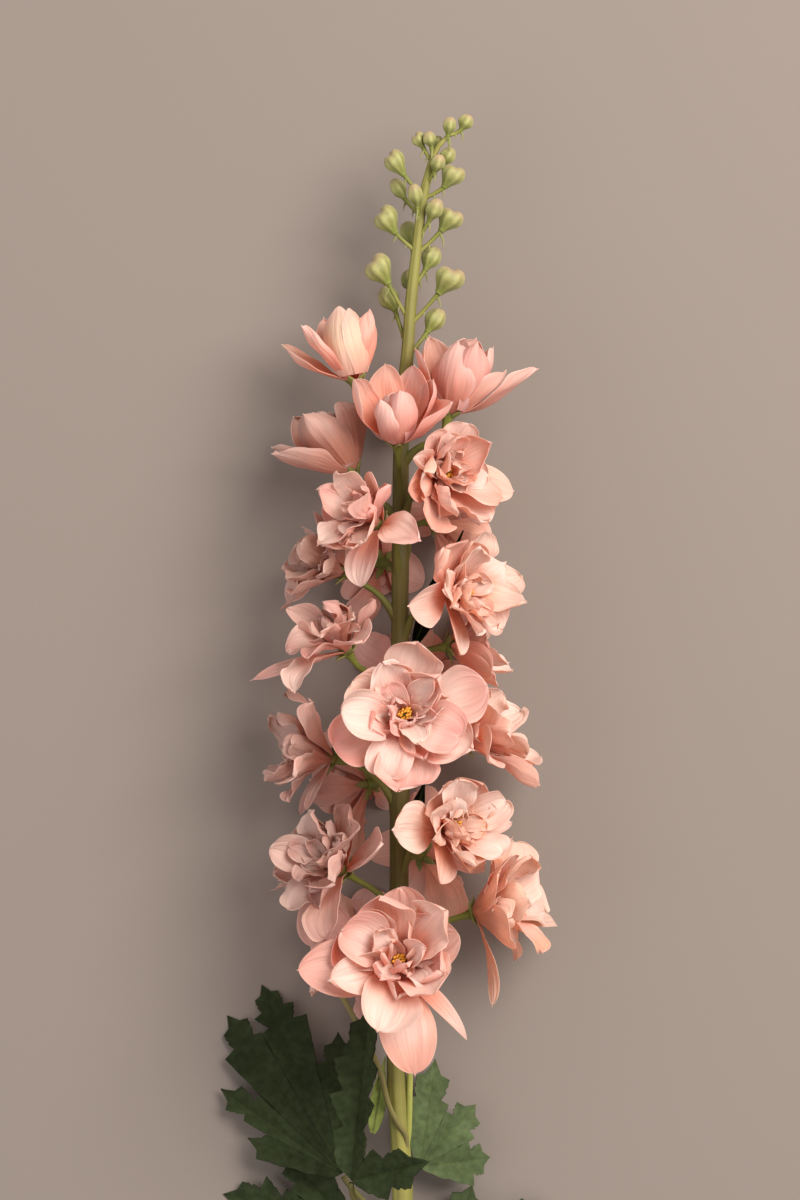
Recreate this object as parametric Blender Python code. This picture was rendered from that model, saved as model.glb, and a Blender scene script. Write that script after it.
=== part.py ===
"""A double-flowered delphinium spike, cut and laid down on a flat surface.

The spike lies along +Y: its cut stem end is at -Y, its buds at +Y and its best side looks
up (+Z). The surface that it lies on is z = 0, and x = y = 0 is the middle of its outline.
Heights are measured along Y from the cut end. An azimuth runs round the stem from straight
up (0 degrees) towards +X (90 degrees). Design rows are in millimetres and degrees, and the
geometry made from them is in metres.
"""
import math
import random
from collections import namedtuple

import bmesh
import bpy
from mathutils import Matrix, Vector

MM = 0.001

# The whole spike
HALF_LENGTH = 242.15    # cut end to the middle of the outline
AXIS_X = 4.85           # the straight part of the stem, beside the middle of the outline
GAP = 0.3               # air left between neighbouring pieces

# Petals and leaves
PETAL_THICKNESS = 0.7
LEAF_THICKNESS = 0.7
STEM_CLEARANCE = 7.5    # petals stay this far from the stem's line, pedicels inside it
WALL_SOFTNESS = 1.6     # how early a petal bends before it meets a neighbour
FLOOR_SOFTNESS = 0.8    # how early a petal bends before it meets the surface
FAR_WALL = 12           # walls this many softnesses away don't bend a petal
BUD_ROOM = 4.5          # petals keep this far from the middle of a bud
BRACT_ROOM = 3.4        # and this far from a bract's middle line
HUB_RADII = (2.0, 1.5, 1.05)    # to the side that each ring's petals grow from
HUB_STEP = 0.85         # thickness of the hub that each ring of petals grows from
HUB_TOP = 3.9
SECTOR_FILL = 0.93      # share of its sector that a petal fills near the hub
SECTOR_MARGIN = 0.6     # and how far it keeps from the sector's point
WIDEST_SECTOR = 0.8
LEAST_LEAN = ((40, 26), (26, 16), (18, 12))  # of each ring's petals, at base and tip
RING_INSET = 1.1        # each inner ring stays this much further from its neighbours
CELL_REACH = 9.0        # from a bloom's hub to the middle of its petals
MANY_PETALED = 25       # blooms with longer petals than this have a sixth outer one
NEST_STEP = 13          # degrees that a ring leans in from the ring outside it

# The stem's line: height, sideways offset, height above the surface, radius
STEM_LINE = (
    (0, 0.0, 3.9, 3.9),
    (40, 0.3, 5.0, 3.7),
    (85, 1.0, 9.0, 3.5),
    (130, 0.6, 15.5, 3.3),
    (170, -1.4, 21.0, 3.2),
    (215, -0.6, 25.0, 3.2),
    (270, 0.0, 27.5, 3.1),
    (330, 0.0, 28.0, 2.8),
    (385, 0.6, 28.0, 2.4),
    (405, 2.4, 28.2, 2.1),
    (422, 3.6, 28.6, 1.9),
    (439, 5.4, 29.2, 1.7),
    (455, 7.4, 30.0, 1.5),
    (465, 9.5, 30.6, 1.3),
    (473, 12.2, 31.0, 0.9),
    (479, 18.0, 31.4, 0.6),
)

# One row for each bloom, from the lowest up. height, azimuth and reach place its hub;
# face_azimuth and face_lift say where it looks; petal is its longest petal; open runs from
# 0, a bud about to open, to 1, flat open. A closed heart marks the half-open ones.
Bloom = namedtuple("Bloom", "height azimuth reach face_azimuth face_lift petal open heart")
BLOOMS = {
    "bloom_01": Bloom(203, 2, 22, 4, -3, 36, 1.00, False),
    "bloom_02": Bloom(207, -146, 15, -144, 5, 25, 0.80, False),
    "bloom_03": Bloom(220, 70, 27, 52, 0, 33, 0.80, False),
    "bloom_04": Bloom(234, -57, 22, -54, 8, 32, 0.80, False),
    "bloom_05": Bloom(238, 150, 15, 146, 5, 26, 0.80, False),
    "bloom_06": Bloom(248, 45, 18, 46, 6, 28, 0.80, False),
    "bloom_07": Bloom(262, -140, 16, -136, 0, 25, 0.80, False),
    "bloom_08": Bloom(271, -80, 23, -66, 6, 29, 0.75, False),
    "bloom_09": Bloom(276, 86, 21, 74, 8, 28, 0.75, False),
    "bloom_10": Bloom(285, 4, 19, 2, 4, 32, 1.00, False),
    "bloom_11": Bloom(296, 172, 15, 172, 5, 23, 0.80, False),
    "bloom_12": Bloom(307, -58, 21, -58, 20, 28, 0.80, False),
    "bloom_13": Bloom(308, 100, 17, 96, 8, 25, 0.75, False),
    "bloom_14": Bloom(326, 52, 20, 52, 4, 28, 0.85, False),
    "bloom_15": Bloom(333, -82, 19, -66, 18, 26, 0.75, False),
    "bloom_16": Bloom(336, -155, 15, -150, 5, 22, 0.80, False),
    "bloom_17": Bloom(348, -24, 18, -28, -4, 28, 0.90, False),
    "bloom_18": Bloom(350, 132, 15, 130, 10, 22, 0.80, False),
    "bloom_19": Bloom(364, 36, 18, 34, 8, 29, 0.90, False),
    "bloom_20": Bloom(366, -88, 16, -90, 42, 28, 0.35, True),
    "bloom_21": Bloom(375, -4, 15, -4, 58, 28, 0.35, True),
    "bloom_22": Bloom(378, 178, 12, 175, 45, 21, 0.40, True),
    "bloom_23": Bloom(385, 66, 17, 70, 56, 29, 0.40, True),
    "bloom_24": Bloom(396, -74, 17, -72, 68, 28, 0.35, True),
}

# Petals that hang or stand out of their bloom: angle round the bloom from the spike's tip
# towards its right, length, width, and the lean off the bloom's axis at base and tip
LONG_PETALS = {
    "bloom_01": ((176, 35, 21, 60, 96), (143, 28, 9, 60, 105)),
    "bloom_03": ((160, 30, 10, 70, 110),),
    "bloom_12": ((-100, 30, 9, 60, 84),),
    "bloom_19": ((88, 25, 14, 60, 88),),
}

# Green buds: sideways offset from the straight stem, height, height over the stem's line,
# height where its stalk leaves the stem, length, width, and whether its tip is cleft
Bud = namedtuple("Bud", "x height rise root length width cleft")
BUDS = (
    Bud(21.6, 481.5, 0, 477.5, 6.0, 5.0, False),
    Bud(16.3, 480.2, 1, 476.0, 6.4, 4.4, False),
    Bud(6.3, 475.4, 1, 469.0, 6.0, 4.6, True),
    Bud(9.7, 475.6, 3, 470.0, 5.6, 4.4, False),
    Bud(12.4, 475.2, -4, 469.5, 5.4, 4.0, False),
    Bud(15.6, 470.4, -1, 463.5, 7.0, 5.0, False),
    Bud(12.4, 467.6, 4, 462.0, 6.6, 4.8, False),
    Bud(-1.3, 468.0, 0, 457.0, 9.6, 7.0, True),
    Bud(17.0, 463.6, 1, 456.5, 9.0, 7.6, True),
    Bud(-0.4, 460.0, -5, 451.0, 8.6, 5.0, False),
    Bud(5.0, 457.0, 5, 449.0, 8.4, 5.0, False),
    Bud(11.2, 452.4, 3, 443.5, 8.4, 5.6, False),
    Bud(-4.2, 449.0, 1, 439.0, 10.0, 8.4, True),
    Bud(16.2, 449.4, -1, 438.0, 9.0, 8.2, True),
    Bud(3.0, 446.0, -8, 437.0, 8.6, 6.0, False),
    Bud(10.2, 437.0, -4, 427.0, 9.2, 6.4, False),
    Bud(-6.8, 432.6, 1, 416.0, 10.8, 9.4, True),
    Bud(15.8, 429.3, 1, 414.5, 10.8, 9.4, True),
    Bud(3.6, 430.0, -9, 418.0, 9.0, 6.6, False),
    Bud(-3.6, 423.6, -5, 407.0, 9.6, 6.8, False),
    Bud(11.4, 416.4, -4, 404.0, 9.6, 6.6, False),
)

# Leaves. A lobe is its direction off the leaf's own axis, its length, half its width, the
# number of teeth on each side, and how far out the cut towards the next lobe starts, as a
# share of the shorter of the two.
Lobe = namedtuple("Lobe", "turn length half teeth cut")
Leaf = namedtuple("Leaf", "base forward up fold curl root lobes")
LEAVES = {
    "leaf_left": Leaf(
        base=(-19.5, 131, 14), forward=(-0.50, 0.86, -0.10), up=(-0.10, 0.10, 1.0), fold=0.28,
        curl=0.0020, root=100,
        lobes=(Lobe(-40, 34, 8, 1, 0.72), Lobe(-26, 50, 9, 2, 0.66), Lobe(-7, 66, 12, 2, 0.76),
               Lobe(6, 69, 12, 3, 0.72), Lobe(28, 47, 10, 2, 0))),
    "leaf_front": Leaf(
        base=(-16.0, 131, 30), forward=(0.12, 0.95, 0.20), up=(-0.50, -0.15, 0.8), fold=0.60,
        curl=0.0010, root=92,
        lobes=(Lobe(-3, 62, 8, 4, 0.34), Lobe(62, 31, 8, 2, 0))),
    "leaf_right": Leaf(
        base=(6.5, 133, 12), forward=(0.70, 0.70, -0.05), up=(0.0, 0.0, 1.0), fold=0.22,
        curl=0.0040, root=104,
        lobes=(Lobe(-36, 36, 8, 2, 0.62), Lobe(-2, 28, 9, 2, 0.66), Lobe(38, 24, 9, 2, 0))),
    "leaf_low_left": Leaf(
        base=(-16.0, 112, 10), forward=(-0.95, 0.22, -0.10), up=(0.0, 0.0, 1.0), fold=0.25,
        curl=0.0030, root=84,
        lobes=(Lobe(-36, 34, 9, 2, 0.60), Lobe(0, 46, 10, 3, 0.60), Lobe(34, 34, 9, 2, 0))),
    "leaf_low_right": Leaf(
        base=(13.0, 96, 8), forward=(0.80, 0.52, -0.04), up=(0.0, 0.0, 1.0), fold=0.25,
        curl=0.0020, root=70,
        lobes=(Lobe(-36, 32, 9, 2, 0.60), Lobe(0, 43, 10, 3, 0.60), Lobe(36, 32, 9, 2, 0))),
}

# Small plain leaves among the blooms: base and tip beside the straight stem (sideways
# offset, height, height over the stem's line), and width
BRACTS = {
    "bract_upper": ((8.5, 330, -1.5), (20.5, 345, 3.0), 5.0),
    "bract_lower": ((-9.5, 218, 1.0), (-26.5, 205, 3.0), 5.0),
}

COLOURS = {
    "petal": (0.90, 0.62, 0.50),
    "petal_pink": (0.82, 0.44, 0.38),
    "stamen": (0.72, 0.42, 0.06),
    "stem": (0.30, 0.32, 0.09),
    "leaf": (0.030, 0.042, 0.018),
}
ROUGHNESS = 0.55


def place(x, height, z):
    """A design position in millimetres, as a point of the model."""
    return Vector((x + AXIS_X, height - HALF_LENGTH, z))


def smooth_read(rows, height):
    """Values of the stem's rows at a height, on a smooth curve through them."""
    last = len(rows) - 2
    index = max(i for i in range(last + 1) if i == 0 or rows[i][0] <= height)
    before, start, end, after = (rows[min(max(index + k, 0), last + 1)] for k in (-1, 0, 1, 2))
    span = end[0] - start[0]
    part = min(max((height - start[0]) / span, 0.0), 1.0)
    values = []
    for column in range(1, len(start)):
        slope_in = (end[column] - before[column]) / (end[0] - before[0]) * span
        slope_out = (after[column] - start[column]) / (after[0] - start[0]) * span
        values.append(
            start[column] * (2 * part**3 - 3 * part**2 + 1) + slope_in * (part**3 - 2 * part**2 + part)
            + end[column] * (3 * part**2 - 2 * part**3) + slope_out * (part**3 - part**2))
    return values


def stem_point(height):
    x, z, _ = smooth_read(STEM_LINE, height)
    return place(x, height, z)


def direction(azimuth, lift=0.0):
    """A direction round the stem, lifted towards the spike's tip."""
    turn, rise = math.radians(azimuth), math.radians(lift)
    return Vector((math.cos(rise) * math.sin(turn), math.sin(rise), math.cos(rise) * math.cos(turn)))


class BloomFrame:
    """Where a bloom's hub is, which way it looks, and the space that it may fill."""

    def __init__(self, row):
        self.row = row
        self.outward = direction(row.azimuth)
        self.hub = stem_point(row.height) + self.outward * row.reach
        self.axis = direction(row.face_azimuth, row.face_lift)
        tip_side = Vector((0, 1, 0)) if abs(self.axis.y) < 0.9 else Vector((0, 0, 1))
        self.north = (tip_side - self.axis * tip_side.dot(self.axis)).normalized()
        self.east = self.north.cross(self.axis)
        self.middle = self.hub + self.axis * CELL_REACH
        self.walls = []

    def world(self, radial, across, axial, turn):
        """A point given by distances along, across and above a petal's direction."""
        along = self.north * math.cos(turn) + self.east * math.sin(turn)
        aside = self.east * math.cos(turn) - self.north * math.sin(turn)
        return self.hub + along * radial + aside * across + self.axis * axial

    def keep_inside(self, point, thickness):
        """Bend a point back from the walls, gently first and then firmly."""
        point = point.copy()
        for normal, depth, softness in self.walls:
            room = depth - thickness / 2 - normal.dot(point)
            if room < FAR_WALL * softness:
                kept = softness * math.log1p(math.exp(room / softness))
                point += normal * (room - kept)
        share = 1.0
        for normal, depth, _ in self.walls:
            start = depth - thickness / 2 - normal.dot(self.middle)
            travel = normal.dot(point - self.middle)
            if travel > start:
                share = min(share, start / travel)
        return self.middle + (point - self.middle) * share

    def overshoot(self, point):
        """How far a point is past the walls other than the surface."""
        return max(normal.dot(point) - depth for normal, depth, _ in self.walls[1:])


def bloom_frames():
    frames = {name: BloomFrame(row) for name, row in BLOOMS.items()}
    lowest_buds = 6
    buds = [bud_middle(bud) for bud in BUDS[-lowest_buds:]]
    bracts = [bract_point(name, part) for name in BRACTS for part in (0.2, 0.55, 0.9)]
    for name, frame in frames.items():
        frame.walls.append((Vector((0, 0, -1)), 0.0, FLOOR_SOFTNESS))
        stem = stem_point(frame.middle.y + HALF_LENGTH)
        away = frame.middle - stem
        away.y = 0
        away.normalize()
        frame.walls.append((-away, -(stem.dot(away) + STEM_CLEARANCE), WALL_SOFTNESS / 2))
        for other_name, other in frames.items():
            if other_name == name:
                continue
            line = other.middle - frame.middle
            share = frame.row.petal / (frame.row.petal + other.row.petal)
            normal = line.normalized()
            depth = normal.dot(frame.middle) + line.length * share - GAP / 2
            frame.walls.append((normal, depth, WALL_SOFTNESS))
        for centre, radius in [(p, BUD_ROOM) for p in buds] + [(p, BRACT_ROOM) for p in bracts]:
            line = centre - frame.middle
            normal = line.normalized()
            depth = normal.dot(centre) - radius
            frame.walls.append((normal, depth, WALL_SOFTNESS))
    return frames


class Petal:
    """A petal's shape: a spoon-shaped blade that leans off its bloom's axis."""

    def __init__(self, ring, turn, length, width, lean_base, lean_tip, cup, sector, foot=0.0):
        self.ring = ring
        self.turn = math.radians(turn)
        self.sector = min(math.tan(math.radians(sector / 2)), WIDEST_SECTOR) * SECTOR_FILL
        self.length = length
        self.width = width
        self.lean_base = math.radians(lean_base)
        self.lean_tip = math.radians(lean_tip)
        self.cup = cup
        self.foot = foot
        self.start = HUB_RADII[ring]

    def outline(self, v):
        """Half the petal's width at a share v of its length."""
        claw, widest, tip_share = 0.20, 0.66, 0.68
        rising = claw + (1 - claw) * math.sin(math.pi / 2 * min(1.0, v / widest))
        falling = 1 - (1 - tip_share) * (max(0.0, v - widest) / (1 - widest)) ** 2
        return self.width / 2 * rising * falling

    def point(self, frame, u, v):
        """u runs across the petal from -1 to 1, and v from its base to its tip."""
        tip_round = 0.15
        v_here = v * (1 - tip_round * u * u * v)
        lean_change = self.lean_tip - self.lean_base
        if abs(lean_change) < 0.02:
            lean_change = 0.02
        lean = self.lean_base + lean_change * v_here
        radial = self.start + self.length * (math.cos(self.lean_base) - math.cos(lean)) / lean_change
        axial = self.foot + self.length * (math.sin(lean) - math.sin(self.lean_base)) / lean_change
        cup = self.cup * min(1.0, 0.1 + 1.5 * v)
        spread = math.sin(cup) / cup + self.sector * (1 - math.cos(cup)) / cup * math.cos(lean)
        half = min(self.outline(v), max(0.3, radial - SECTOR_MARGIN) * self.sector / spread)
        across = half * math.sin(cup * u) / cup
        rise = half * (1 - math.cos(cup * u)) / cup
        radial -= rise * math.cos(lean)
        axial += rise * math.sin(lean)
        return frame.world(radial, across, axial, self.turn)

    def nest(self, outside):
        """Stay inside the petals of the ring outside this one."""
        step = math.radians(NEST_STEP)
        for other in outside:
            self.lean_base = min(self.lean_base, other.lean_base - step)
            self.lean_tip = min(self.lean_tip, other.lean_tip - step)
        self.lean_base = max(self.lean_base, math.radians(LEAST_LEAN[self.ring][0]))
        self.lean_tip = max(self.lean_tip, math.radians(LEAST_LEAN[self.ring][1]))

    def fit(self, frame):
        """Fold and shorten the petal until it is clear of its neighbours."""
        allowed, steps = 1.2, 14
        tip_turn, base_turn, shorter, narrower = math.radians(6), math.radians(1.5), 0.95, 0.98
        for _ in range(steps):
            tests = [self.point(frame, u, v) for u, v in ((0, 1), (-1, 0.7), (1, 0.7))]
            if max(frame.overshoot(point) for point in tests) < allowed:
                break
            least_base, least_tip = (math.radians(lean) for lean in LEAST_LEAN[self.ring])
            self.lean_tip = max(self.lean_tip - tip_turn, least_tip)
            self.lean_base = max(self.lean_base - base_turn, least_base)
            self.length *= shorter
            self.width *= narrower


def bloom_petals(name, frame):
    """All petals of a bloom, outer ring first."""
    row = frame.row
    draw = random.Random(name)
    length, opened = row.petal, row.open
    petals = []
    if row.heart:
        count, wide, lean_base, lean_flared, cup = 5, 0.72, 44, 62, 0.75
        flared = draw.randrange(count)
        first_turn = draw.uniform(0, 360 / count)
        for index in range(count):
            lean_tip = lean_flared if index == flared else 2 + 40 * opened + draw.uniform(-6, 8)
            petals.append(Petal(0, first_turn + 360 / count * index, length * draw.uniform(0.94, 1.04),
                                length * wide, lean_base, lean_tip, cup, sector=360 / count))
            petals[-1].fit(frame)
        return petals
    # count, length and width as shares of the bloom's petal, leans, cup, foot above the hub
    rings = (
        (6 if length > MANY_PETALED else 5, 1.00, 0.74, 50 + 8 * opened, 70 + 32 * opened, 0.50, 0.0),
        (5, 0.74, 0.58, 32 + 6 * opened, 50 + 20 * opened, 0.60, 1.5),
        (4, 0.46, 0.36, 22, 34 + 10 * opened, 0.60, 3.0),
    )
    ring_turn = 31
    long_ones = LONG_PETALS.get(name, ())
    first_turn = long_ones[0][0] if long_ones else draw.uniform(0, 60)
    for ring, (count, long, wide, lean_base, lean_tip, cup, foot) in enumerate(rings):
        for index in range(count):
            turn = first_turn + ring_turn * ring + 360 / count * (index + draw.uniform(-0.03, 0.03))
            size = draw.uniform(0.92, 1.06)
            petals.append(Petal(ring, turn, length * long * size, length * wide * draw.uniform(0.94, 1.06),
                                lean_base, lean_tip + draw.uniform(-8, 8), cup,
                                sector=360 / count, foot=foot))
    for turn, long, wide, lean_base, lean_tip in long_ones:
        nearest = min(petals[:rings[0][0]], key=lambda p: 1 - math.cos(p.turn - math.radians(turn)))
        nearest.length, nearest.width = long, wide
        nearest.lean_base, nearest.lean_tip = math.radians(lean_base), math.radians(lean_tip)
    beside = math.cos(math.radians(66))
    for petal in petals:
        outside = [other for other in petals if other.ring == petal.ring - 1
                   and math.cos(other.turn - petal.turn) > beside]
        petal.nest(outside)
        petal.fit(frame)
    return petals


def strip(lower, upper):
    """Triangles between two rows, in step with how far each row has run."""
    triangles = []
    i = j = 0
    while i < len(lower) - 1 or j < len(upper) - 1:
        next_lower = (i + 1) / max(len(lower) - 1, 1)
        next_upper = (j + 1) / max(len(upper) - 1, 1)
        if i == len(lower) - 1 or (j < len(upper) - 1 and next_upper <= next_lower):
            triangles.append((lower[i], upper[j + 1], upper[j]))
            j += 1
        else:
            triangles.append((lower[i], lower[i + 1], upper[j]))
            i += 1
    return triangles


def grow_blade(solid, rows, thickness, root=None):
    """A blade from rows of middle points, split alike on both faces.

    root is the pair of front and the pair of back vertices that it grows from. Without one
    the blade is closed at its base too.
    """
    keys = [[(r, c) for c in range(len(row))] for r, row in enumerate(rows)]
    middle = {key: rows[key[0]][key[1]] for row in keys for key in row}
    triangles = [triangle for low, high in zip(keys, keys[1:]) for triangle in strip(low, high)]
    normals = {key: Vector() for key in middle}
    for a, b, c in triangles:
        facing_way = (middle[b] - middle[a]).cross(middle[c] - middle[a])
        for key in (a, b, c):
            normals[key] += facing_way
    front, back = {}, {}
    for key, point in middle.items():
        if root and key[0] == 0:
            front[key], back[key] = root[0][key[1]], root[1][key[1]]
            continue
        offset = normals[key].normalized() * (thickness / 2)
        front[key] = solid.verts.new((point + offset) * MM)
        back[key] = solid.verts.new((point - offset) * MM)
    for a, b, c in triangles:
        solid.faces.new((front[a], front[b], front[c]))
        solid.faces.new((back[a], back[c], back[b]))
    right = [row[-1] for row in keys]
    left = [row[0] for row in keys]
    loop = right + keys[-1][-2::-1] + left[-2::-1]
    if root is None:
        loop += keys[0][1:]
    for here, there in zip(loop, loop[1:]):
        solid.faces.new((front[here], back[here], back[there]))
        solid.faces.new((front[here], back[there], front[there]))


def thicken(shell, thickness):
    """Give an open triangle mesh two faces and a rim."""
    bmesh.ops.recalc_face_normals(shell, faces=shell.faces[:])
    shell.normal_update()
    offset = {vert: vert.normal * (thickness * MM / 2) for vert in shell.verts}
    rim = [edge for edge in shell.edges if edge.is_boundary]
    faces = [tuple(face.verts) for face in shell.faces]
    middle = list(shell.verts)
    back = {vert: shell.verts.new(vert.co - offset[vert]) for vert in middle}
    for face in faces:
        shell.faces.new([back[vert] for vert in reversed(face)])
    for edge in rim:
        start, end = edge.verts
        shell.faces.new((start, end, back[end]))
        shell.faces.new((start, back[end], back[start]))
    for vert in middle:
        vert.co += offset[vert]
    bmesh.ops.recalc_face_normals(shell, faces=shell.faces[:])
    return shell


def petal_rows(petal, frame):
    """Rows of middle points of one petal, few enough for a light solid."""
    wide = petal.ring < 2
    rows = []
    for v in (0.36, 0.72, 1.0) if wide else (0.55, 1.0):
        acrosses = (-0.7, 0.7) if v == 1.0 else (-1, 0, 1)
        inset = PETAL_THICKNESS + 2 * RING_INSET * petal.ring
        rows.append([frame.keep_inside(petal.point(frame, u, v), inset) for u in acrosses])
    return rows


def bridge(solid, low, high):
    """Close the band between two rings of (angle, vertex) round the same axis."""
    low, high = sorted(low, key=lambda pair: pair[0]), sorted(high, key=lambda pair: pair[0])
    i = j = 0
    while i < len(low) or j < len(high):
        low_here, low_next = low[i % len(low)], low[(i + 1) % len(low)]
        high_here, high_next = high[j % len(high)], high[(j + 1) % len(high)]
        low_angle = low_next[0] + math.tau * ((i + 1) // len(low))
        high_angle = high_next[0] + math.tau * ((j + 1) // len(high))
        if j == len(high) or (i < len(low) and low_angle <= high_angle):
            solid.faces.new((low_here[1], low_next[1], high_here[1]))
            i += 1
        else:
            solid.faces.new((low_here[1], high_next[1], high_here[1]))
            j += 1


def facing(origin, axis, side=Vector((0, 1, 0))):
    """A matrix that carries local Z to an axis at an origin."""
    axis = axis.normalized()
    if abs(axis.dot(side)) > 0.95:
        side = Vector((0, 0, 1))
    across = (side - axis * side.dot(axis)).normalized()
    matrix = Matrix((across, axis.cross(across), axis)).transposed().to_4x4()
    matrix.translation = origin
    return matrix


def tube_bmesh(points, radii, sides):
    """A closed round tube through points."""
    solid = bmesh.new()
    rings = []
    across = None
    for index, (point, radius) in enumerate(zip(points, radii)):
        ahead = points[min(index + 1, len(points) - 1)] - points[max(index - 1, 0)]
        ahead.normalize()
        if across is None:
            across = ahead.orthogonal()
        across = (across - ahead * across.dot(ahead)).normalized()
        other = ahead.cross(across)
        rings.append([
            solid.verts.new((point + (across * math.cos(math.tau * k / sides)
                                      + other * math.sin(math.tau * k / sides)) * radius) * MM)
            for k in range(sides)])
    for low, high in zip(rings, rings[1:]):
        for k in range(sides):
            after = (k + 1) % sides
            solid.faces.new((low[k], low[after], high[after]))
            solid.faces.new((low[k], high[after], high[k]))
    solid.faces.new(rings[0])
    solid.faces.new(rings[-1])
    bmesh.ops.recalc_face_normals(solid, faces=solid.faces[:])
    return solid


def curve_points(start, start_pull, end_pull, end, count):
    """Points on a curve that leaves start towards start_pull and reaches end from end_pull."""
    points = []
    for k in range(count):
        t = k / (count - 1)
        points.append(start * (1 - t)**3 + start_pull * (3 * t * (1 - t)**2)
                      + end_pull * (3 * t * t * (1 - t)) + end * t**3)
    return points


def make_object(name, solid, colour):
    """A named object with its own material from a closed bmesh."""
    bmesh.ops.triangulate(solid, faces=[face for face in solid.faces if len(face.verts) > 3])
    mesh = bpy.data.meshes.new(name)
    solid.to_mesh(mesh)
    solid.free()
    item = bpy.data.objects.new(name, mesh)
    bpy.context.scene.collection.objects.link(item)
    mesh.materials.append(material(colour))
    return item


def material(name):
    found = bpy.data.materials.get(name)
    if found:
        return found
    made = bpy.data.materials.new(name)
    made.use_nodes = True
    shader = made.node_tree.nodes["Principled BSDF"]
    shader.inputs["Base Color"].default_value = (*COLOURS[name], 1.0)
    shader.inputs["Roughness"].default_value = ROUGHNESS
    made.diffuse_color = (*COLOURS[name], 1.0)
    return made


def fuse(name, solids, colour):
    """Join closed solids that grow out of one another into one object."""
    base = make_object(name, solids[0], colour)
    grown = bpy.data.collections.new(name + "_grown")
    bpy.context.scene.collection.children.link(grown)
    for index, solid in enumerate(solids[1:]):
        item = make_object(f"{name}_{index}", solid, colour)
        bpy.context.scene.collection.objects.unlink(item)
        grown.objects.link(item)
    union = base.modifiers.new("union", "BOOLEAN")
    union.operation = "UNION"
    union.operand_type = "COLLECTION"
    union.collection = grown
    union.solver = "MANIFOLD"
    mesh = bpy.data.meshes.new_from_object(base.evaluated_get(bpy.context.evaluated_depsgraph_get()))
    base.modifiers.clear()
    base.data = mesh
    mesh.name = name
    for item in list(grown.objects):
        bpy.data.objects.remove(item)
    bpy.data.collections.remove(grown)
    return base


def press_flat(item):
    """Make the undersides that touch the surface exactly flat."""
    touching = 0.12 * MM
    for vert in item.data.vertices:
        if vert.co.z < touching:
            vert.co.z = 0.0


def build_bloom(name, frame):
    """Rings of petals that grow from the sides of one small stepped hub."""
    solid = bmesh.new()
    petals = bloom_petals(name, frame)
    top = None
    for ring in sorted({petal.ring for petal in petals}):
        members = sorted((petal for petal in petals if petal.ring == ring), key=lambda p: p.turn)
        corners = []
        for index, petal in enumerate(members):
            after = members[(index + 1) % len(members)].turn
            if after <= petal.turn:
                after += math.tau
            angle = (petal.turn + after) / 2
            reach = HUB_RADII[ring] / math.cos(math.pi / len(members))
            levels = [frame.world(reach, 0, petal.foot + height, angle) for height in (0, HUB_STEP)]
            corners.append((angle % math.tau, [solid.verts.new(point * MM) for point in levels]))
        for index, petal in enumerate(members):
            before, after = corners[index - 1][1], corners[index][1]
            base = [(before[0].co + before[1].co) / (2 * MM), (after[0].co + after[1].co) / (2 * MM)]
            root = ((before[1], after[1]), (before[0], after[0]))
            grow_blade(solid, [base] + petal_rows(petal, frame), PETAL_THICKNESS, root)
        under = [(angle, levels[0]) for angle, levels in corners]
        if top is None:
            solid.faces.new([vert for _, vert in under])
        else:
            bridge(solid, top, under)
        top = [(angle, levels[1]) for angle, levels in corners]
    if frame.row.heart:
        top = grow_heart(solid, frame, top)
    solid.faces.new([vert for _, vert in sorted(top, key=lambda pair: pair[0])])
    bmesh.ops.recalc_face_normals(solid, faces=solid.faces[:])
    press_flat(make_object(name, solid, "petal_pink" if frame.row.heart else "petal"))


def grow_heart(solid, frame, top):
    """The closed inner petals of a half-open bloom, as one pointed egg."""
    long = frame.row.petal
    for radius, height in ((0.20, 0.34), (0.16, 0.62), (0.05, 0.84)):
        level = []
        for angle, _ in top:
            point = frame.world(radius * long, 0, height * long, angle)
            level.append((angle, solid.verts.new(point * MM)))
        bridge(solid, top, level)
        top = level
    return top


def build_stamens(name, frame):
    """The tuft at an open bloom's centre, standing clear of its hub."""
    points, foot, tips, valleys = 6, HUB_TOP + GAP + 0.1, 4.6, 2.6
    tuft = bmesh.new()
    matrix = facing(frame.hub, frame.axis)

    def ring(radii, heights):
        verts = []
        for k in range(2 * points):
            turn, radius, height = math.pi * k / points, radii[k % 2], heights[k % 2]
            spot = matrix @ Vector((radius * math.cos(turn), radius * math.sin(turn), foot + height))
            verts.append(tuft.verts.new(spot * MM))
        return verts

    low = ring((0.75, 0.65), (0, 0))
    high = ring((2.0, 0.9), (tips, valleys))
    centre = tuft.verts.new((matrix @ Vector((0, 0, foot + valleys + 0.8))) * MM)
    for k in range(2 * points):
        after = (k + 1) % (2 * points)
        tuft.faces.new((low[k], low[after], high[after], high[k]))
        tuft.faces.new((high[k], high[after], centre))
    tuft.faces.new(low)
    bmesh.ops.recalc_face_normals(tuft, faces=tuft.faces[:])
    make_object(name, tuft, "stamen")


def pedicel_bmesh(frame):
    """The stalk from the stem to a bloom, widening into the green cup under the bloom."""
    row = frame.row
    root_drop, leave_radius, cup_depth, pull = 19.0, 5.2, 5.5, 6.0
    root = stem_point(row.height - root_drop)
    side = stem_point(row.height - 7) + frame.outward * leave_radius
    cup_top = frame.hub - frame.axis * GAP
    foot = cup_top - frame.axis * cup_depth
    points = curve_points(root, side, foot - frame.axis * pull, foot, 4) + [cup_top]
    return tube_bmesh(points, (1.5, 1.25, 1.1, 1.1, 2.1), 5)


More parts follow.
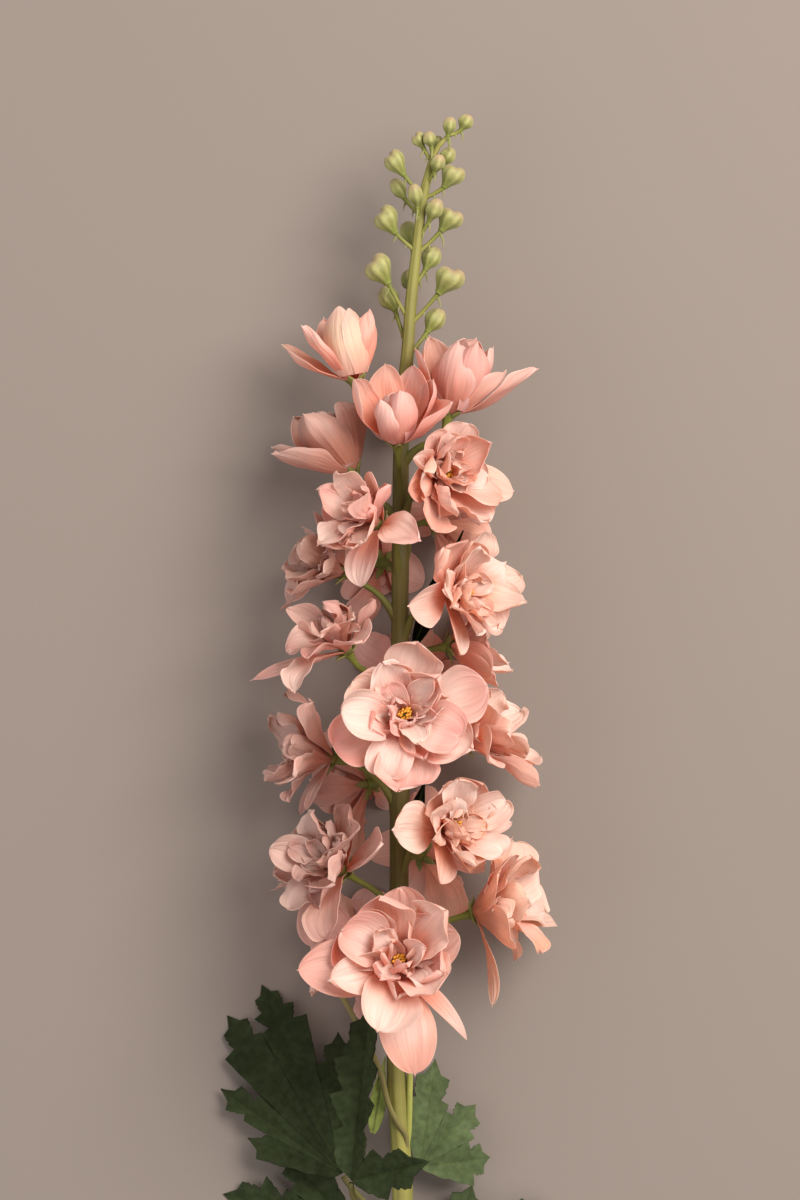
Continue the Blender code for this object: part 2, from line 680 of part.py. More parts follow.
def stem_solids(frames):
    """The stem with the stalks, cups, buds and leaf stalks that grow from it."""
    rows, long_step = [row[0] for row in STEM_LINE], 35
    heights = sorted(rows + [(a + b) / 2 for a, b in zip(rows, rows[1:]) if b - a > long_step])
    line = [stem_point(height) for height in heights]
    radii = [smooth_read(STEM_LINE, height)[2] for height in heights]
    solids = [tube_bmesh(line, radii, 8)]
    solids += [pedicel_bmesh(frame) for frame in frames.values()]
    solids += [bud_bmesh(bud) for bud in BUDS]
    solids += [leaf_stalk(leaf) for leaf in LEAVES.values()]
    return solids


def bud_middle(bud):
    return place(bud.x, bud.height, stem_point(bud.height).z + bud.rise)


def bud_bmesh(bud):
    """A bud on its stalk."""
    root = stem_point(bud.root)
    middle = bud_middle(bud)
    outward = middle - stem_point(bud.height - 0.6 * bud.length)
    axis = (outward.normalized() + Vector((0, 0.75, 0))).normalized()
    foot = middle - axis * (bud.length / 2)
    bend = root.lerp(foot, 0.55) + Vector((0, -0.6, 0))
    half = bud.width / 2
    points = [root, bend, foot] + [foot + axis * (bud.length * share) for share in (0.42, 0.78, 1.0)]
    tip = 0.5 if bud.cleft else 0.22
    return tube_bmesh(points, (0.8, 0.65, 0.75, half, 0.78 * half, tip * half), 5)


def leaf_frame(leaf):
    forward = Vector(leaf.forward).normalized()
    up = Vector(leaf.up)
    up = (up - forward * up.dot(forward)).normalized()
    matrix = Matrix((forward.cross(up), forward, up)).transposed().to_4x4()
    matrix.translation = place(*leaf.base)
    return matrix


def leaf_stalk(leaf):
    root = stem_point(leaf.root)
    frame = leaf_frame(leaf)
    forward = frame.to_3x3() @ Vector((0, 1, 0))
    foot = place(*leaf.base) - forward * (GAP + 0.6)
    points = curve_points(root, root + Vector((0, 12, 0)), foot - forward * 10, foot, 6)
    return tube_bmesh(points, (1.5, 1.3, 1.2, 1.1, 1.0, 0.8), 5)


def leaf_outline(leaf):
    """Rib points, margin points and tip of each half lobe, in the leaf's own plane."""
    halves = []
    base_share, slit, tooth_step = 0.07, 0.8, 0.06
    for index, lobe in enumerate(leaf.lobes):
        turn = math.radians(lobe.turn)
        along = Vector((math.sin(turn), math.cos(turn)))
        starts, limits = {}, {}
        for side in (-1, 1):
            aside = Vector((math.cos(turn), -math.sin(turn))) * side
            if 0 <= index + side < len(leaf.lobes):
                other = leaf.lobes[index + side]
                half_gap = abs(math.radians(lobe.turn - other.turn)) / 2
                cut = leaf.lobes[min(index, index + side)].cut * min(lobe.length, other.length)
                starts[side] = along * (cut * math.cos(half_gap)) + aside * (cut * math.sin(half_gap))
                limits[side] = math.tan(half_gap)
            else:
                starts[side] = (along + aside) * (base_share * lobe.length)
                limits[side] = 1.0
        first = max(start.dot(along) for start in starts.values()) / lobe.length
        shares = []
        for tooth in range(lobe.teeth):
            for part, spread in ((0.50, 1.0), (0.78, 0.66)):
                shares.append((first + (1 - first) * (tooth + part) / (lobe.teeth + 0.4), spread))
        rib = [Vector((0, 0))] + [along * (lobe.length * (share - tooth_step)) for share, _ in shares]
        for side, start in starts.items():
            aside = Vector((math.cos(turn), -math.sin(turn))) * side
            margin = [start]
            for share, spread in shares:
                half = min(lobe.half * leaf_width(share), lobe.length * share * limits[side] - slit)
                margin.append(along * (lobe.length * share) + aside * (half * spread))
            halves.append((rib, margin, along * lobe.length))
    return halves


def leaf_width(share):
    """Width of a lobe, widest about its middle, at a share of its length."""
    return math.sin(math.pi * min(max(share, 0.0), 1.0) ** 1.15) ** 0.75


def leaf_height(leaf, point):
    """How far the blade stands off its plane: folded at each rib, curling down outwards."""
    turns = [math.radians(lobe.turn) for lobe in leaf.lobes]
    nearest = min(abs(point.x * math.cos(turn) - point.y * math.sin(turn)) for turn in turns)
    return leaf.fold * nearest - leaf.curl * point.length_squared


def build_leaf(name, leaf):
    matrix = leaf_frame(leaf)
    blade = bmesh.new()
    known = {}

    def vertex(point):
        key = (round(point.x, 3), round(point.y, 3))
        if key not in known:
            spot = matrix @ Vector((point.x, point.y, leaf_height(leaf, point)))
            spot.z = max(spot.z, LEAF_THICKNESS / 2)
            known[key] = blade.verts.new(spot * MM)
        return known[key]

    for rib, margin, tip in leaf_outline(leaf):
        for k in range(len(margin) - 1):
            blade.faces.new((vertex(rib[k]), vertex(margin[k]), vertex(margin[k + 1])))
            blade.faces.new((vertex(rib[k]), vertex(margin[k + 1]), vertex(rib[k + 1])))
        blade.faces.new((vertex(rib[-1]), vertex(margin[-1]), vertex(tip)))
    press_flat(make_object(name, thicken(blade, LEAF_THICKNESS), "leaf"))


def bract_point(name, part):
    (x0, h0, z0), (x1, h1, z1), _ = BRACTS[name]
    height = h0 + (h1 - h0) * part
    return place(x0 + (x1 - x0) * part, height, stem_point(height).z + z0 + (z1 - z0) * part)


def build_bract(name):
    width = BRACTS[name][2]
    start, end = bract_point(name, 0), bract_point(name, 1)
    along = (end - start).normalized()
    aside = along.cross(Vector((0, 0, 1))).normalized()
    rows = []
    for part, share in ((0, 0.3), (0.3, 0.9), (0.65, 0.8), (1, 0.12)):
        middle = bract_point(name, part)
        edge = aside * (width / 2 * share)
        rows.append([middle - edge, middle + edge])
    solid = bmesh.new()
    grow_blade(solid, rows, LEAF_THICKNESS)
    bmesh.ops.recalc_face_normals(solid, faces=solid.faces[:])
    make_object(name, solid, "leaf")


def main():
    for item in list(bpy.data.objects):
        bpy.data.objects.remove(item)
    frames = bloom_frames()
    for name, frame in frames.items():
        build_bloom(name, frame)
        if not frame.row.heart:
            build_stamens(name.replace("bloom", "stamens"), frame)
    for name, leaf in LEAVES.items():
        build_leaf(name, leaf)
    for name in BRACTS:
        build_bract(name)
    press_flat(fuse("stem", stem_solids(frames), "stem"))


main()
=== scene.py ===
"""The looks of a double-flowered delphinium spike that lies on a pale surface, seen from above.

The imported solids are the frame. Each petal, leaf, bud and stalk here follows the same rows of
design values as the solid that it replaces, with a finer surface. Rows are in millimetres and
degrees. The spike lies along +Y with its buds at +Y, and the surface is z = 0.
"""

import math
import random
from collections import namedtuple

import bpy
import numpy as np
from mathutils import Matrix, Vector


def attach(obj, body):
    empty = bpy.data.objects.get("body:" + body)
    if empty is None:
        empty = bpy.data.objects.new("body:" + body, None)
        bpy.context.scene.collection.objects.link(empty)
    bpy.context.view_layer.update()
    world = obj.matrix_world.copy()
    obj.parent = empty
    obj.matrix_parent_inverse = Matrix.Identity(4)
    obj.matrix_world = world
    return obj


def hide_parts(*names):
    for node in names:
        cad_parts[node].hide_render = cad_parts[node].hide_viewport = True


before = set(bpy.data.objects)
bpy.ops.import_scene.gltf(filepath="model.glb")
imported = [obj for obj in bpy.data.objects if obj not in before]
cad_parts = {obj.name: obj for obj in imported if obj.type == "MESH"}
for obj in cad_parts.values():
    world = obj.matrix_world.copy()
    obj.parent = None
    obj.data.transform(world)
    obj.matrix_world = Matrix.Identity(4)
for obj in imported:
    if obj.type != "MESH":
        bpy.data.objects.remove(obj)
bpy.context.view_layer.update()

MM = 0.001

# The whole spike, as in the solids
HALF_LENGTH = 242.15
AXIS_X = 4.85
GAP = 0.3
STEM_CLEARANCE = 7.5
WALL_SOFTNESS = 1.6
FLOOR_SOFTNESS = 0.8
FAR_WALL = 12
BUD_ROOM = 4.5
BRACT_ROOM = 3.4
HUB_RADII = (2.0, 1.5, 1.05)
HUB_TOP = 3.9
SECTOR_FILL = 0.93
SECTOR_MARGIN = 0.6
WIDEST_SECTOR = 0.8
LEAST_LEAN = ((40, 26), (26, 16), (18, 12))
RING_INSET = 1.1
CELL_REACH = 9.0
MANY_PETALED = 25
NEST_STEP = 13

# Finer than the solids
PETAL_THICKNESS = 0.30
LEAF_THICKNESS = 0.45
OVERLAP = 1.7           # how much wider than its sector a petal may be
PINWHEEL = 10           # degrees that each petal tips so that its edge lies over the next
SLACK = 2.0             # how far a fine petal may pass the plane between two blooms
SOFTER = 1.9            # how much more gently than in the solids it bends back there
GRIDS = ((17, 25), (13, 19), (11, 15))      # columns and rows of a petal in each ring

# Small petals between the solids' rings: ring, count, length, width, lean at the base and
# at the tip, cup, foot, first turn
INNER_RINGS = (
    (1, 4, 0.64, 0.46, 42, 64, 0.9, 1.4, 68),
    (2, 6, 0.44, 0.33, 36, 66, 1.1, 2.6, 20),
    (2, 4, 0.36, 0.27, 26, 40, 1.1, 3.0, 50),
)

# The stem's line: height, sideways offset, height above the surface, radius
STEM_LINE = (
    (0, 0.0, 3.9, 3.9),
    (40, 0.3, 5.0, 3.7),
    (85, 1.0, 9.0, 3.5),
    (130, 0.6, 15.5, 3.3),
    (170, -1.4, 21.0, 3.2),
    (215, -0.6, 25.0, 3.2),
    (270, 0.0, 27.5, 3.1),
    (330, 0.0, 28.0, 2.8),
    (385, 0.6, 28.0, 2.4),
    (405, 2.4, 28.2, 2.1),
    (422, 3.6, 28.6, 1.9),
    (439, 5.4, 29.2, 1.7),
    (455, 7.4, 30.0, 1.5),
    (465, 9.5, 30.6, 1.3),
    (473, 12.2, 31.0, 0.9),
    (479, 18.0, 31.4, 0.6),
)

# height, azimuth and reach place a bloom's hub, face_azimuth and face_lift say where it
# looks, petal is its longest petal and open runs from 0, a bud, to 1, flat open. The value
# before slim is a tint that runs from -1, a mauve that is painted shade on the blooms of the
# shaded left side, to 1, a peach that is partly the bloom's own colour and partly painted
# warm glow on the lit right side, and slim is the width of the fine petals beside the
# solids' petals.
Bloom = namedtuple("Bloom", "height azimuth reach face_azimuth face_lift petal open heart warmth slim")
BLOOMS = {
    "bloom_01": Bloom(203, 2, 22, 4, -3, 36, 1.00, False, 0.2, 0.95),
    "bloom_02": Bloom(207, -146, 15, -144, 5, 25, 0.80, False, -0.3, 0.80),
    "bloom_03": Bloom(220, 70, 27, 52, 0, 33, 0.80, False, 0.9, 0.78),
    "bloom_04": Bloom(234, -57, 22, -54, 8, 32, 0.80, False, -0.8, 0.78),
    "bloom_05": Bloom(238, 150, 15, 146, 5, 26, 0.80, False, 0.4, 0.80),
    "bloom_06": Bloom(248, 45, 18, 46, 6, 28, 0.80, False, 0.8, 0.85),
    "bloom_07": Bloom(262, -140, 16, -136, 0, 25, 0.80, False, -0.7, 0.75),
    "bloom_08": Bloom(271, -80, 23, -66, 6, 29, 0.75, False, -0.9, 0.62),
    "bloom_09": Bloom(276, 86, 21, 74, 8, 28, 0.75, False, 0.6, 0.80),
    "bloom_10": Bloom(285, 4, 19, 2, 4, 32, 1.00, False, 0.0, 0.95),
    "bloom_11": Bloom(296, 172, 15, 172, 5, 23, 0.80, False, 0.0, 0.80),
    "bloom_12": Bloom(307, -58, 21, -58, 20, 28, 0.80, False, -0.5, 0.62),
    "bloom_13": Bloom(308, 100, 17, 96, 8, 25, 0.75, False, 0.3, 0.80),
    "bloom_14": Bloom(326, 52, 20, 52, 4, 28, 0.85, False, 0.6, 0.82),
    "bloom_15": Bloom(333, -82, 19, -66, 18, 26, 0.75, False, -0.8, 0.72),
    "bloom_16": Bloom(336, -155, 15, -150, 5, 22, 0.80, False, -0.4, 0.80),
    "bloom_17": Bloom(348, -24, 18, -28, -4, 28, 0.90, False, -0.1, 0.78),
    "bloom_18": Bloom(350, 132, 15, 130, 10, 22, 0.80, False, 0.4, 0.80),
    "bloom_19": Bloom(364, 36, 18, 34, 8, 29, 0.90, False, 0.5, 0.85),
    "bloom_20": Bloom(366, -88, 16, -90, 42, 28, 0.35, True, -1.0, 1.00),
    "bloom_21": Bloom(375, -4, 15, -4, 58, 28, 0.35, True, -0.1, 1.00),
    "bloom_22": Bloom(378, 178, 12, 175, 45, 21, 0.40, True, -0.4, 1.00),
    "bloom_23": Bloom(385, 66, 17, 70, 56, 29, 0.40, True, -0.3, 1.00),
    "bloom_24": Bloom(396, -74, 17, -72, 68, 28, 0.35, True, 0.3, 1.00),
}

# Petals that hang or stand out of their bloom: angle, length, width, leans
LONG_PETALS = {
    "bloom_01": ((176, 35, 21, 60, 96), (143, 28, 9, 60, 105)),
    "bloom_03": ((160, 30, 10, 70, 110),),
    "bloom_12": ((-132, 32, 8, 70, 60),),
    "bloom_19": ((88, 25, 14, 60, 88),),
}

# Where the fine blooms look, azimuth and lift, as they nod or stand off their cup
FACES = {
    "bloom_01": (0, 22), "bloom_03": (72, 16), "bloom_04": (-50, 28), "bloom_08": (-84, 14),
    "bloom_09": (74, 32), "bloom_10": (2, 10), "bloom_12": (-58, 50), "bloom_15": (-70, 32),
    "bloom_17": (-44, 26), "bloom_20": (-90, 60), "bloom_21": (-4, 58), "bloom_22": (175, 52),
    "bloom_23": (70, 74), "bloom_24": (-72, 79),
}

# How many degrees less than in the solids the petals of a half-closed bloom lean out
CUPPED = {"bloom_03": 26, "bloom_08": 18, "bloom_09": 18, "bloom_12": 6, "bloom_15": 8, "bloom_17": 6}

# Fine petals that hang, stand out or turn aside: angle, length, width, leans and twist
RESHAPED = {
    "bloom_01": ((176, 35, 21, 80, 118, 0), (132, 32, 8, 80, 120, 40), (-98, 34, 23, 62, 84, 0),
                 (72, 33, 24, 60, 82, 0)),
    "bloom_03": ((180, 30, 9, 82, 104, 60), (-120, 30, 21, 46, 60, 0), (-60, 30, 20, 42, 56, 0)),
    "bloom_04": ((180, 28, 21, 66, 110, 0),),
    "bloom_06": ((-155, 23, 20, 56, 90, 0), (92, 27, 12, 62, 74, 20)),
    "bloom_08": ((-160, 24, 9, 66, 96, 30), (172, 22, 8, 76, 100, 40)),
    "bloom_12": ((-140, 34, 9, 74, 82, 35),),
    "bloom_13": ((-118, 25, 19, 56, 74, 0),),
    "bloom_14": ((-168, 27, 15, 66, 98, 0),),
    "bloom_17": ((178, 23, 17, 72, 110, 0), (20, 33, 21, 56, 82, 0), (-48, 30, 18, 58, 84, 0)),
    "bloom_19": ((-112, 26, 16, 62, 84, 20), (100, 28, 17, 62, 86, 0)),
}

Bud = namedtuple("Bud", "x height rise root length width cleft")
BUDS = (
    Bud(21.6, 481.5, 0, 477.5, 6.0, 5.0, False),
    Bud(16.3, 480.2, 1, 476.0, 6.4, 4.4, False),
    Bud(6.3, 475.4, 1, 469.0, 6.0, 4.6, True),
    Bud(9.7, 475.6, 3, 470.0, 5.6, 4.4, False),
    Bud(12.4, 475.2, -4, 469.5, 5.4, 4.0, False),
    Bud(15.6, 470.4, -1, 463.5, 7.0, 5.0, False),
    Bud(12.4, 467.6, 4, 462.0, 6.6, 4.8, False),
    Bud(-1.3, 468.0, 0, 457.0, 9.6, 7.0, True),
    Bud(17.0, 463.6, 1, 456.5, 9.0, 7.6, True),
    Bud(-0.4, 460.0, -5, 451.0, 8.6, 5.0, False),
    Bud(5.0, 457.0, 5, 449.0, 8.4, 5.0, False),
    Bud(11.2, 452.4, 3, 443.5, 8.4, 5.6, False),
    Bud(-4.2, 449.0, 1, 439.0, 10.0, 8.4, True),
    Bud(16.2, 449.4, -1, 438.0, 9.0, 8.2, True),
    Bud(3.0, 446.0, -8, 437.0, 8.6, 6.0, False),
    Bud(10.2, 437.0, -4, 427.0, 9.2, 6.4, False),
    Bud(-6.8, 432.6, 1, 416.0, 10.8, 9.4, True),
    Bud(15.8, 429.3, 1, 414.5, 10.8, 9.4, True),
    Bud(3.6, 430.0, -9, 418.0, 9.0, 6.6, False),
    Bud(-3.6, 423.6, -5, 407.0, 9.6, 6.8, False),
    Bud(11.4, 416.4, -4, 404.0, 9.6, 6.6, False),
)
LOWEST_BUDS = 6

# Thin stalks near the leaves: points at x, height and z off the stem's line, radius and tint
SIDE_STALKS = (
    (((1.5, 139, 0.0), (2.8, 145, 1.0), (3.2, 158, 1.2), (3.4, 175, 1.0), (3.0, 192, 0.0)), 1.05,
     np.array((0.33, 0.34, 0.08))),
    (((1.8, 139, 1.0), (2.0, 144.5, 2.6), (-0.8, 149, 3.6), (-4.0, 156, 3.4), (-6.8, 167, 3.0),
      (-13.0, 180, 2.0), (-20.0, 193, 1.0)), 0.95, np.array((0.20, 0.17, 0.06))),
)

Lobe = namedtuple("Lobe", "turn length half teeth cut")
Leaf = namedtuple("Leaf", "base forward up fold curl root lobes")
LEAVES = {
    "leaf_left": Leaf(
        base=(-19.5, 131, 14), forward=(-0.50, 0.86, -0.10), up=(-0.10, 0.10, 1.0), fold=0.28,
        curl=0.0020, root=100,
        lobes=(Lobe(-40, 34, 8, 1, 0.72), Lobe(-26, 50, 9, 2, 0.66), Lobe(-7, 66, 12, 2, 0.76),
               Lobe(6, 69, 12, 3, 0.72), Lobe(28, 47, 10, 2, 0))),
    "leaf_front": Leaf(
        base=(-16.0, 131, 30), forward=(0.12, 0.95, 0.20), up=(-0.50, -0.15, 0.8), fold=0.60,
        curl=0.0010, root=92,
        lobes=(Lobe(-3, 62, 8, 4, 0.34), Lobe(62, 31, 8, 2, 0))),
    "leaf_right": Leaf(
        base=(6.5, 133, 12), forward=(0.70, 0.70, -0.05), up=(0.0, 0.0, 1.0), fold=0.22,
        curl=0.0040, root=104,
        lobes=(Lobe(-36, 36, 8, 2, 0.62), Lobe(-2, 28, 9, 2, 0.66), Lobe(38, 24, 9, 2, 0))),
    "leaf_low_left": Leaf(
        base=(-16.0, 112, 10), forward=(-0.95, 0.22, -0.10), up=(0.0, 0.0, 1.0), fold=0.25,
        curl=0.0030, root=84,
        lobes=(Lobe(-36, 34, 9, 2, 0.60), Lobe(0, 46, 10, 3, 0.60), Lobe(34, 34, 9, 2, 0))),
    "leaf_low_right": Leaf(
        base=(13.0, 96, 8), forward=(0.80, 0.52, -0.04), up=(0.0, 0.0, 1.0), fold=0.25,
        curl=0.0020, root=70,
        lobes=(Lobe(-36, 32, 9, 2, 0.60), Lobe(0, 43, 10, 3, 0.60), Lobe(36, 32, 9, 2, 0))),
}

BRACTS = {
    "bract_upper": ((8.5, 330, -1.5), (20.5, 345, 3.0), 5.0),
    "bract_lower": ((-9.5, 218, 1.0), (-26.5, 205, 3.0), 5.0),
}

# Colours of the living surfaces, linear
CREAM = np.array((0.99, 0.87, 0.79))
BODY = np.array((0.97, 0.68, 0.55))
PEACH = np.array((0.97, 0.58, 0.35))
PINK = np.array((0.95, 0.50, 0.46))
# Painted shade: the dusky mauve given to the blooms on the shaded left side
PAINTED_SHADE_MAUVE = np.array((0.62, 0.40, 0.34))
# Coral of the petals' throat, made deeper and carried further up the petal as painted warm shade of the crevices
# between petals
THROAT_CORAL_AND_SHADE = np.array((0.97, 0.36, 0.15))
HEART = np.array((0.96, 0.75, 0.51))
# Dark olive of the stem, darkened as painted shade where the blooms shade it; the pedicels and leaf stalks use it
# too
STEM_OLIVE_IN_PAINTED_SHADE = np.array((0.11, 0.095, 0.024))
STEM_YELLOW = np.array((0.27, 0.25, 0.065))
BUD_GREEN = np.array((0.16, 0.18, 0.032))
BUD_PALE = np.array((0.27, 0.26, 0.095))
BUD_TIP = np.array((0.40, 0.26, 0.16))
PALE_UNDERSIDE = np.array((0.24, 0.29, 0.075))
# Leaf blade: a dark green made nearly black as painted shade; the dark bracts use it too
LEAF_DARK_IN_PAINTED_SHADE = np.array((0.0036, 0.0041, 0.0018))
# Colour of the veins, also used for a painted sheen near the leaf's base
LEAF_VEIN_AND_SHEEN = np.array((0.020, 0.027, 0.010))
LEAF_BACK = np.array((0.030, 0.040, 0.018))
# Painted light and shade of each leaf: the left leaves darkened as if in shade, the right ones lightened as if
# lit
LEAF_PAINTED_LIGHT_AND_SHADE = {"leaf_left": 0.8, "leaf_front": 1.1, "leaf_right": 2.2, "leaf_low_left": 0.9,
               "leaf_low_right": 1.6}
# The fine bracts: from, to and width as above, and colour
FINE_BRACTS = {
    "bract_upper": (((5.0, 309, -3.0), (21.0, 346.5, 2.5), 7.0), LEAF_DARK_IN_PAINTED_SHADE),
    "bract_lower": (BRACTS["bract_lower"], np.array((0.10, 0.12, 0.03))),
    "bract_middle": (((3.5, 246, -1.0), (8.5, 264, -1.0), 4.6), LEAF_DARK_IN_PAINTED_SHADE),
    "bract_pale": (((-9.0, 145, -1.0), (-5.0, 171, 1.0), 5.6), PALE_UNDERSIDE),
}
ANTHER = np.array((0.70, 0.32, 0.03))
CARPEL = np.array((0.22, 0.26, 0.05))


def place(x, height, z):
    """A design position in millimetres, beside the middle of the outline."""
    return Vector((x + AXIS_X, height - HALF_LENGTH, z))


def smooth_read(rows, height):
    """Values of the stem's rows at a height, on a smooth curve through them."""
    last = len(rows) - 2
    index = max(i for i in range(last + 1) if i == 0 or rows[i][0] <= height)
    before, start, end, after = (rows[min(max(index + k, 0), last + 1)] for k in (-1, 0, 1, 2))
    span = end[0] - start[0]
    part = min(max((height - start[0]) / span, 0.0), 1.0)
    values = []
    for column in range(1, len(start)):
        slope_in = (end[column] - before[column]) / (end[0] - before[0]) * span
        slope_out = (after[column] - start[column]) / (after[0] - start[0]) * span
        values.append(
            start[column] * (2 * part**3 - 3 * part**2 + 1) + slope_in * (part**3 - 2 * part**2 + part)
            + end[column] * (3 * part**2 - 2 * part**3) + slope_out * (part**3 - part**2))
    return values


def stem_point(height):
    x, z, _ = smooth_read(STEM_LINE, height)
    return place(x, height, z)


def direction(azimuth, lift=0.0):
    """A direction round the stem, lifted towards the spike's tip."""
    turn, rise = math.radians(azimuth), math.radians(lift)
    return Vector((math.cos(rise) * math.sin(turn), math.sin(rise), math.cos(rise) * math.cos(turn)))


def smoothstep(low, high, value):
    part = np.clip((value - low) / (high - low), 0, 1)
    return part * part * (3 - 2 * part)


def running_sum(values):
    """The area under evenly spaced values, in steps of one, from the first value on."""
    return np.concatenate([[0.0], np.cumsum((values[1:] + values[:-1]) / 2)])


def blend(first, second, share):
    """Colours between two, for an array of shares."""
    share = np.asarray(share)[..., None]
    return first * (1 - share) + second * share


class BloomFrame:
    """Where a bloom's hub is, which way it looks, and the space that it may fill."""

    def __init__(self, row):
        self.row = row
        self.outward = direction(row.azimuth)
        self.hub = stem_point(row.height) + self.outward * row.reach
        self.look_along(direction(row.face_azimuth, row.face_lift))
        self.middle = self.hub + self.axis * CELL_REACH
        self.walls = []

    def look_along(self, axis):
        self.axis = axis
        tip_side = Vector((0, 1, 0)) if abs(self.axis.y) < 0.9 else Vector((0, 0, 1))
        self.north = (tip_side - self.axis * tip_side.dot(self.axis)).normalized()
        self.east = self.north.cross(self.axis)

    def world(self, radial, across, axial, turn):
        """Points given by distances along, across and above a petal's direction."""
        north, east, axis, hub = (np.array(v) for v in (self.north, self.east, self.axis, self.hub))
        along = north * math.cos(turn) + east * math.sin(turn)
        aside = east * math.cos(turn) - north * math.sin(turn)
        radial, across, axial = (np.asarray(a, float)[..., None] for a in (radial, across, axial))
        return hub + along * radial + aside * across + axis * axial

    def keep_inside(self, points, thickness):
        """Bend points back from the planes between blooms, and last of all from the surface."""
        points = points.copy()
        for index, (normal, depth, softness) in enumerate(self.walls[1:] + self.walls[:1]):
            if index < len(self.walls) - 1:
                depth, softness = depth + SLACK, softness * SOFTER
            normal = np.array(normal)
            room = depth - thickness / 2 - points @ normal
            kept = softness * np.log1p(np.exp(np.minimum(room / softness, FAR_WALL)))
            move = np.where(room < FAR_WALL * softness, room - kept, 0.0)
            points += move[..., None] * normal
        return points

    def overshoot(self, point):
        """How far a point is past the walls other than the surface."""
        return max(np.array(normal) @ point - depth for normal, depth, _ in self.walls[1:])


def bud_middle(bud):
    return place(bud.x, bud.height, stem_point(bud.height).z + bud.rise)


def bract_point(row, part):
    (x0, h0, z0), (x1, h1, z1), _ = row
    height = h0 + (h1 - h0) * part
    return place(x0 + (x1 - x0) * part, height, stem_point(height).z + z0 + (z1 - z0) * part)


def bloom_frames():
    """Each bloom's frame, walled off from the surface, the stem and its neighbours."""
    frames = {name: BloomFrame(row) for name, row in BLOOMS.items()}
    buds = [bud_middle(bud) for bud in BUDS[-LOWEST_BUDS:]]
    bracts = [bract_point(row, part) for row in BRACTS.values() for part in (0.2, 0.55, 0.9)]
    for name, here in frames.items():
        here.walls.append((Vector((0, 0, -1)), 0.0, FLOOR_SOFTNESS))
        stem = stem_point(here.middle.y + HALF_LENGTH)
        away = here.middle - stem
        away.y = 0
        away.normalize()
        here.walls.append((-away, -(stem.dot(away) + STEM_CLEARANCE), WALL_SOFTNESS / 2))
        for other_name, other in frames.items():
            if other_name == name:
                continue
            line = other.middle - here.middle
            share = here.row.petal / (here.row.petal + other.row.petal)
            normal = line.normalized()
            depth = normal.dot(here.middle) + line.length * share - GAP / 2
            here.walls.append((normal, depth, WALL_SOFTNESS))
        for centre, radius in [(p, BUD_ROOM) for p in buds] + [(p, BRACT_ROOM) for p in bracts]:
            line = centre - here.middle
            normal = line.normalized()
            depth = normal.dot(centre) - radius
            here.walls.append((normal, depth, WALL_SOFTNESS))
    for name, (azimuth, lift) in FACES.items():
        frames[name].look_along(direction(azimuth, lift))
    return frames


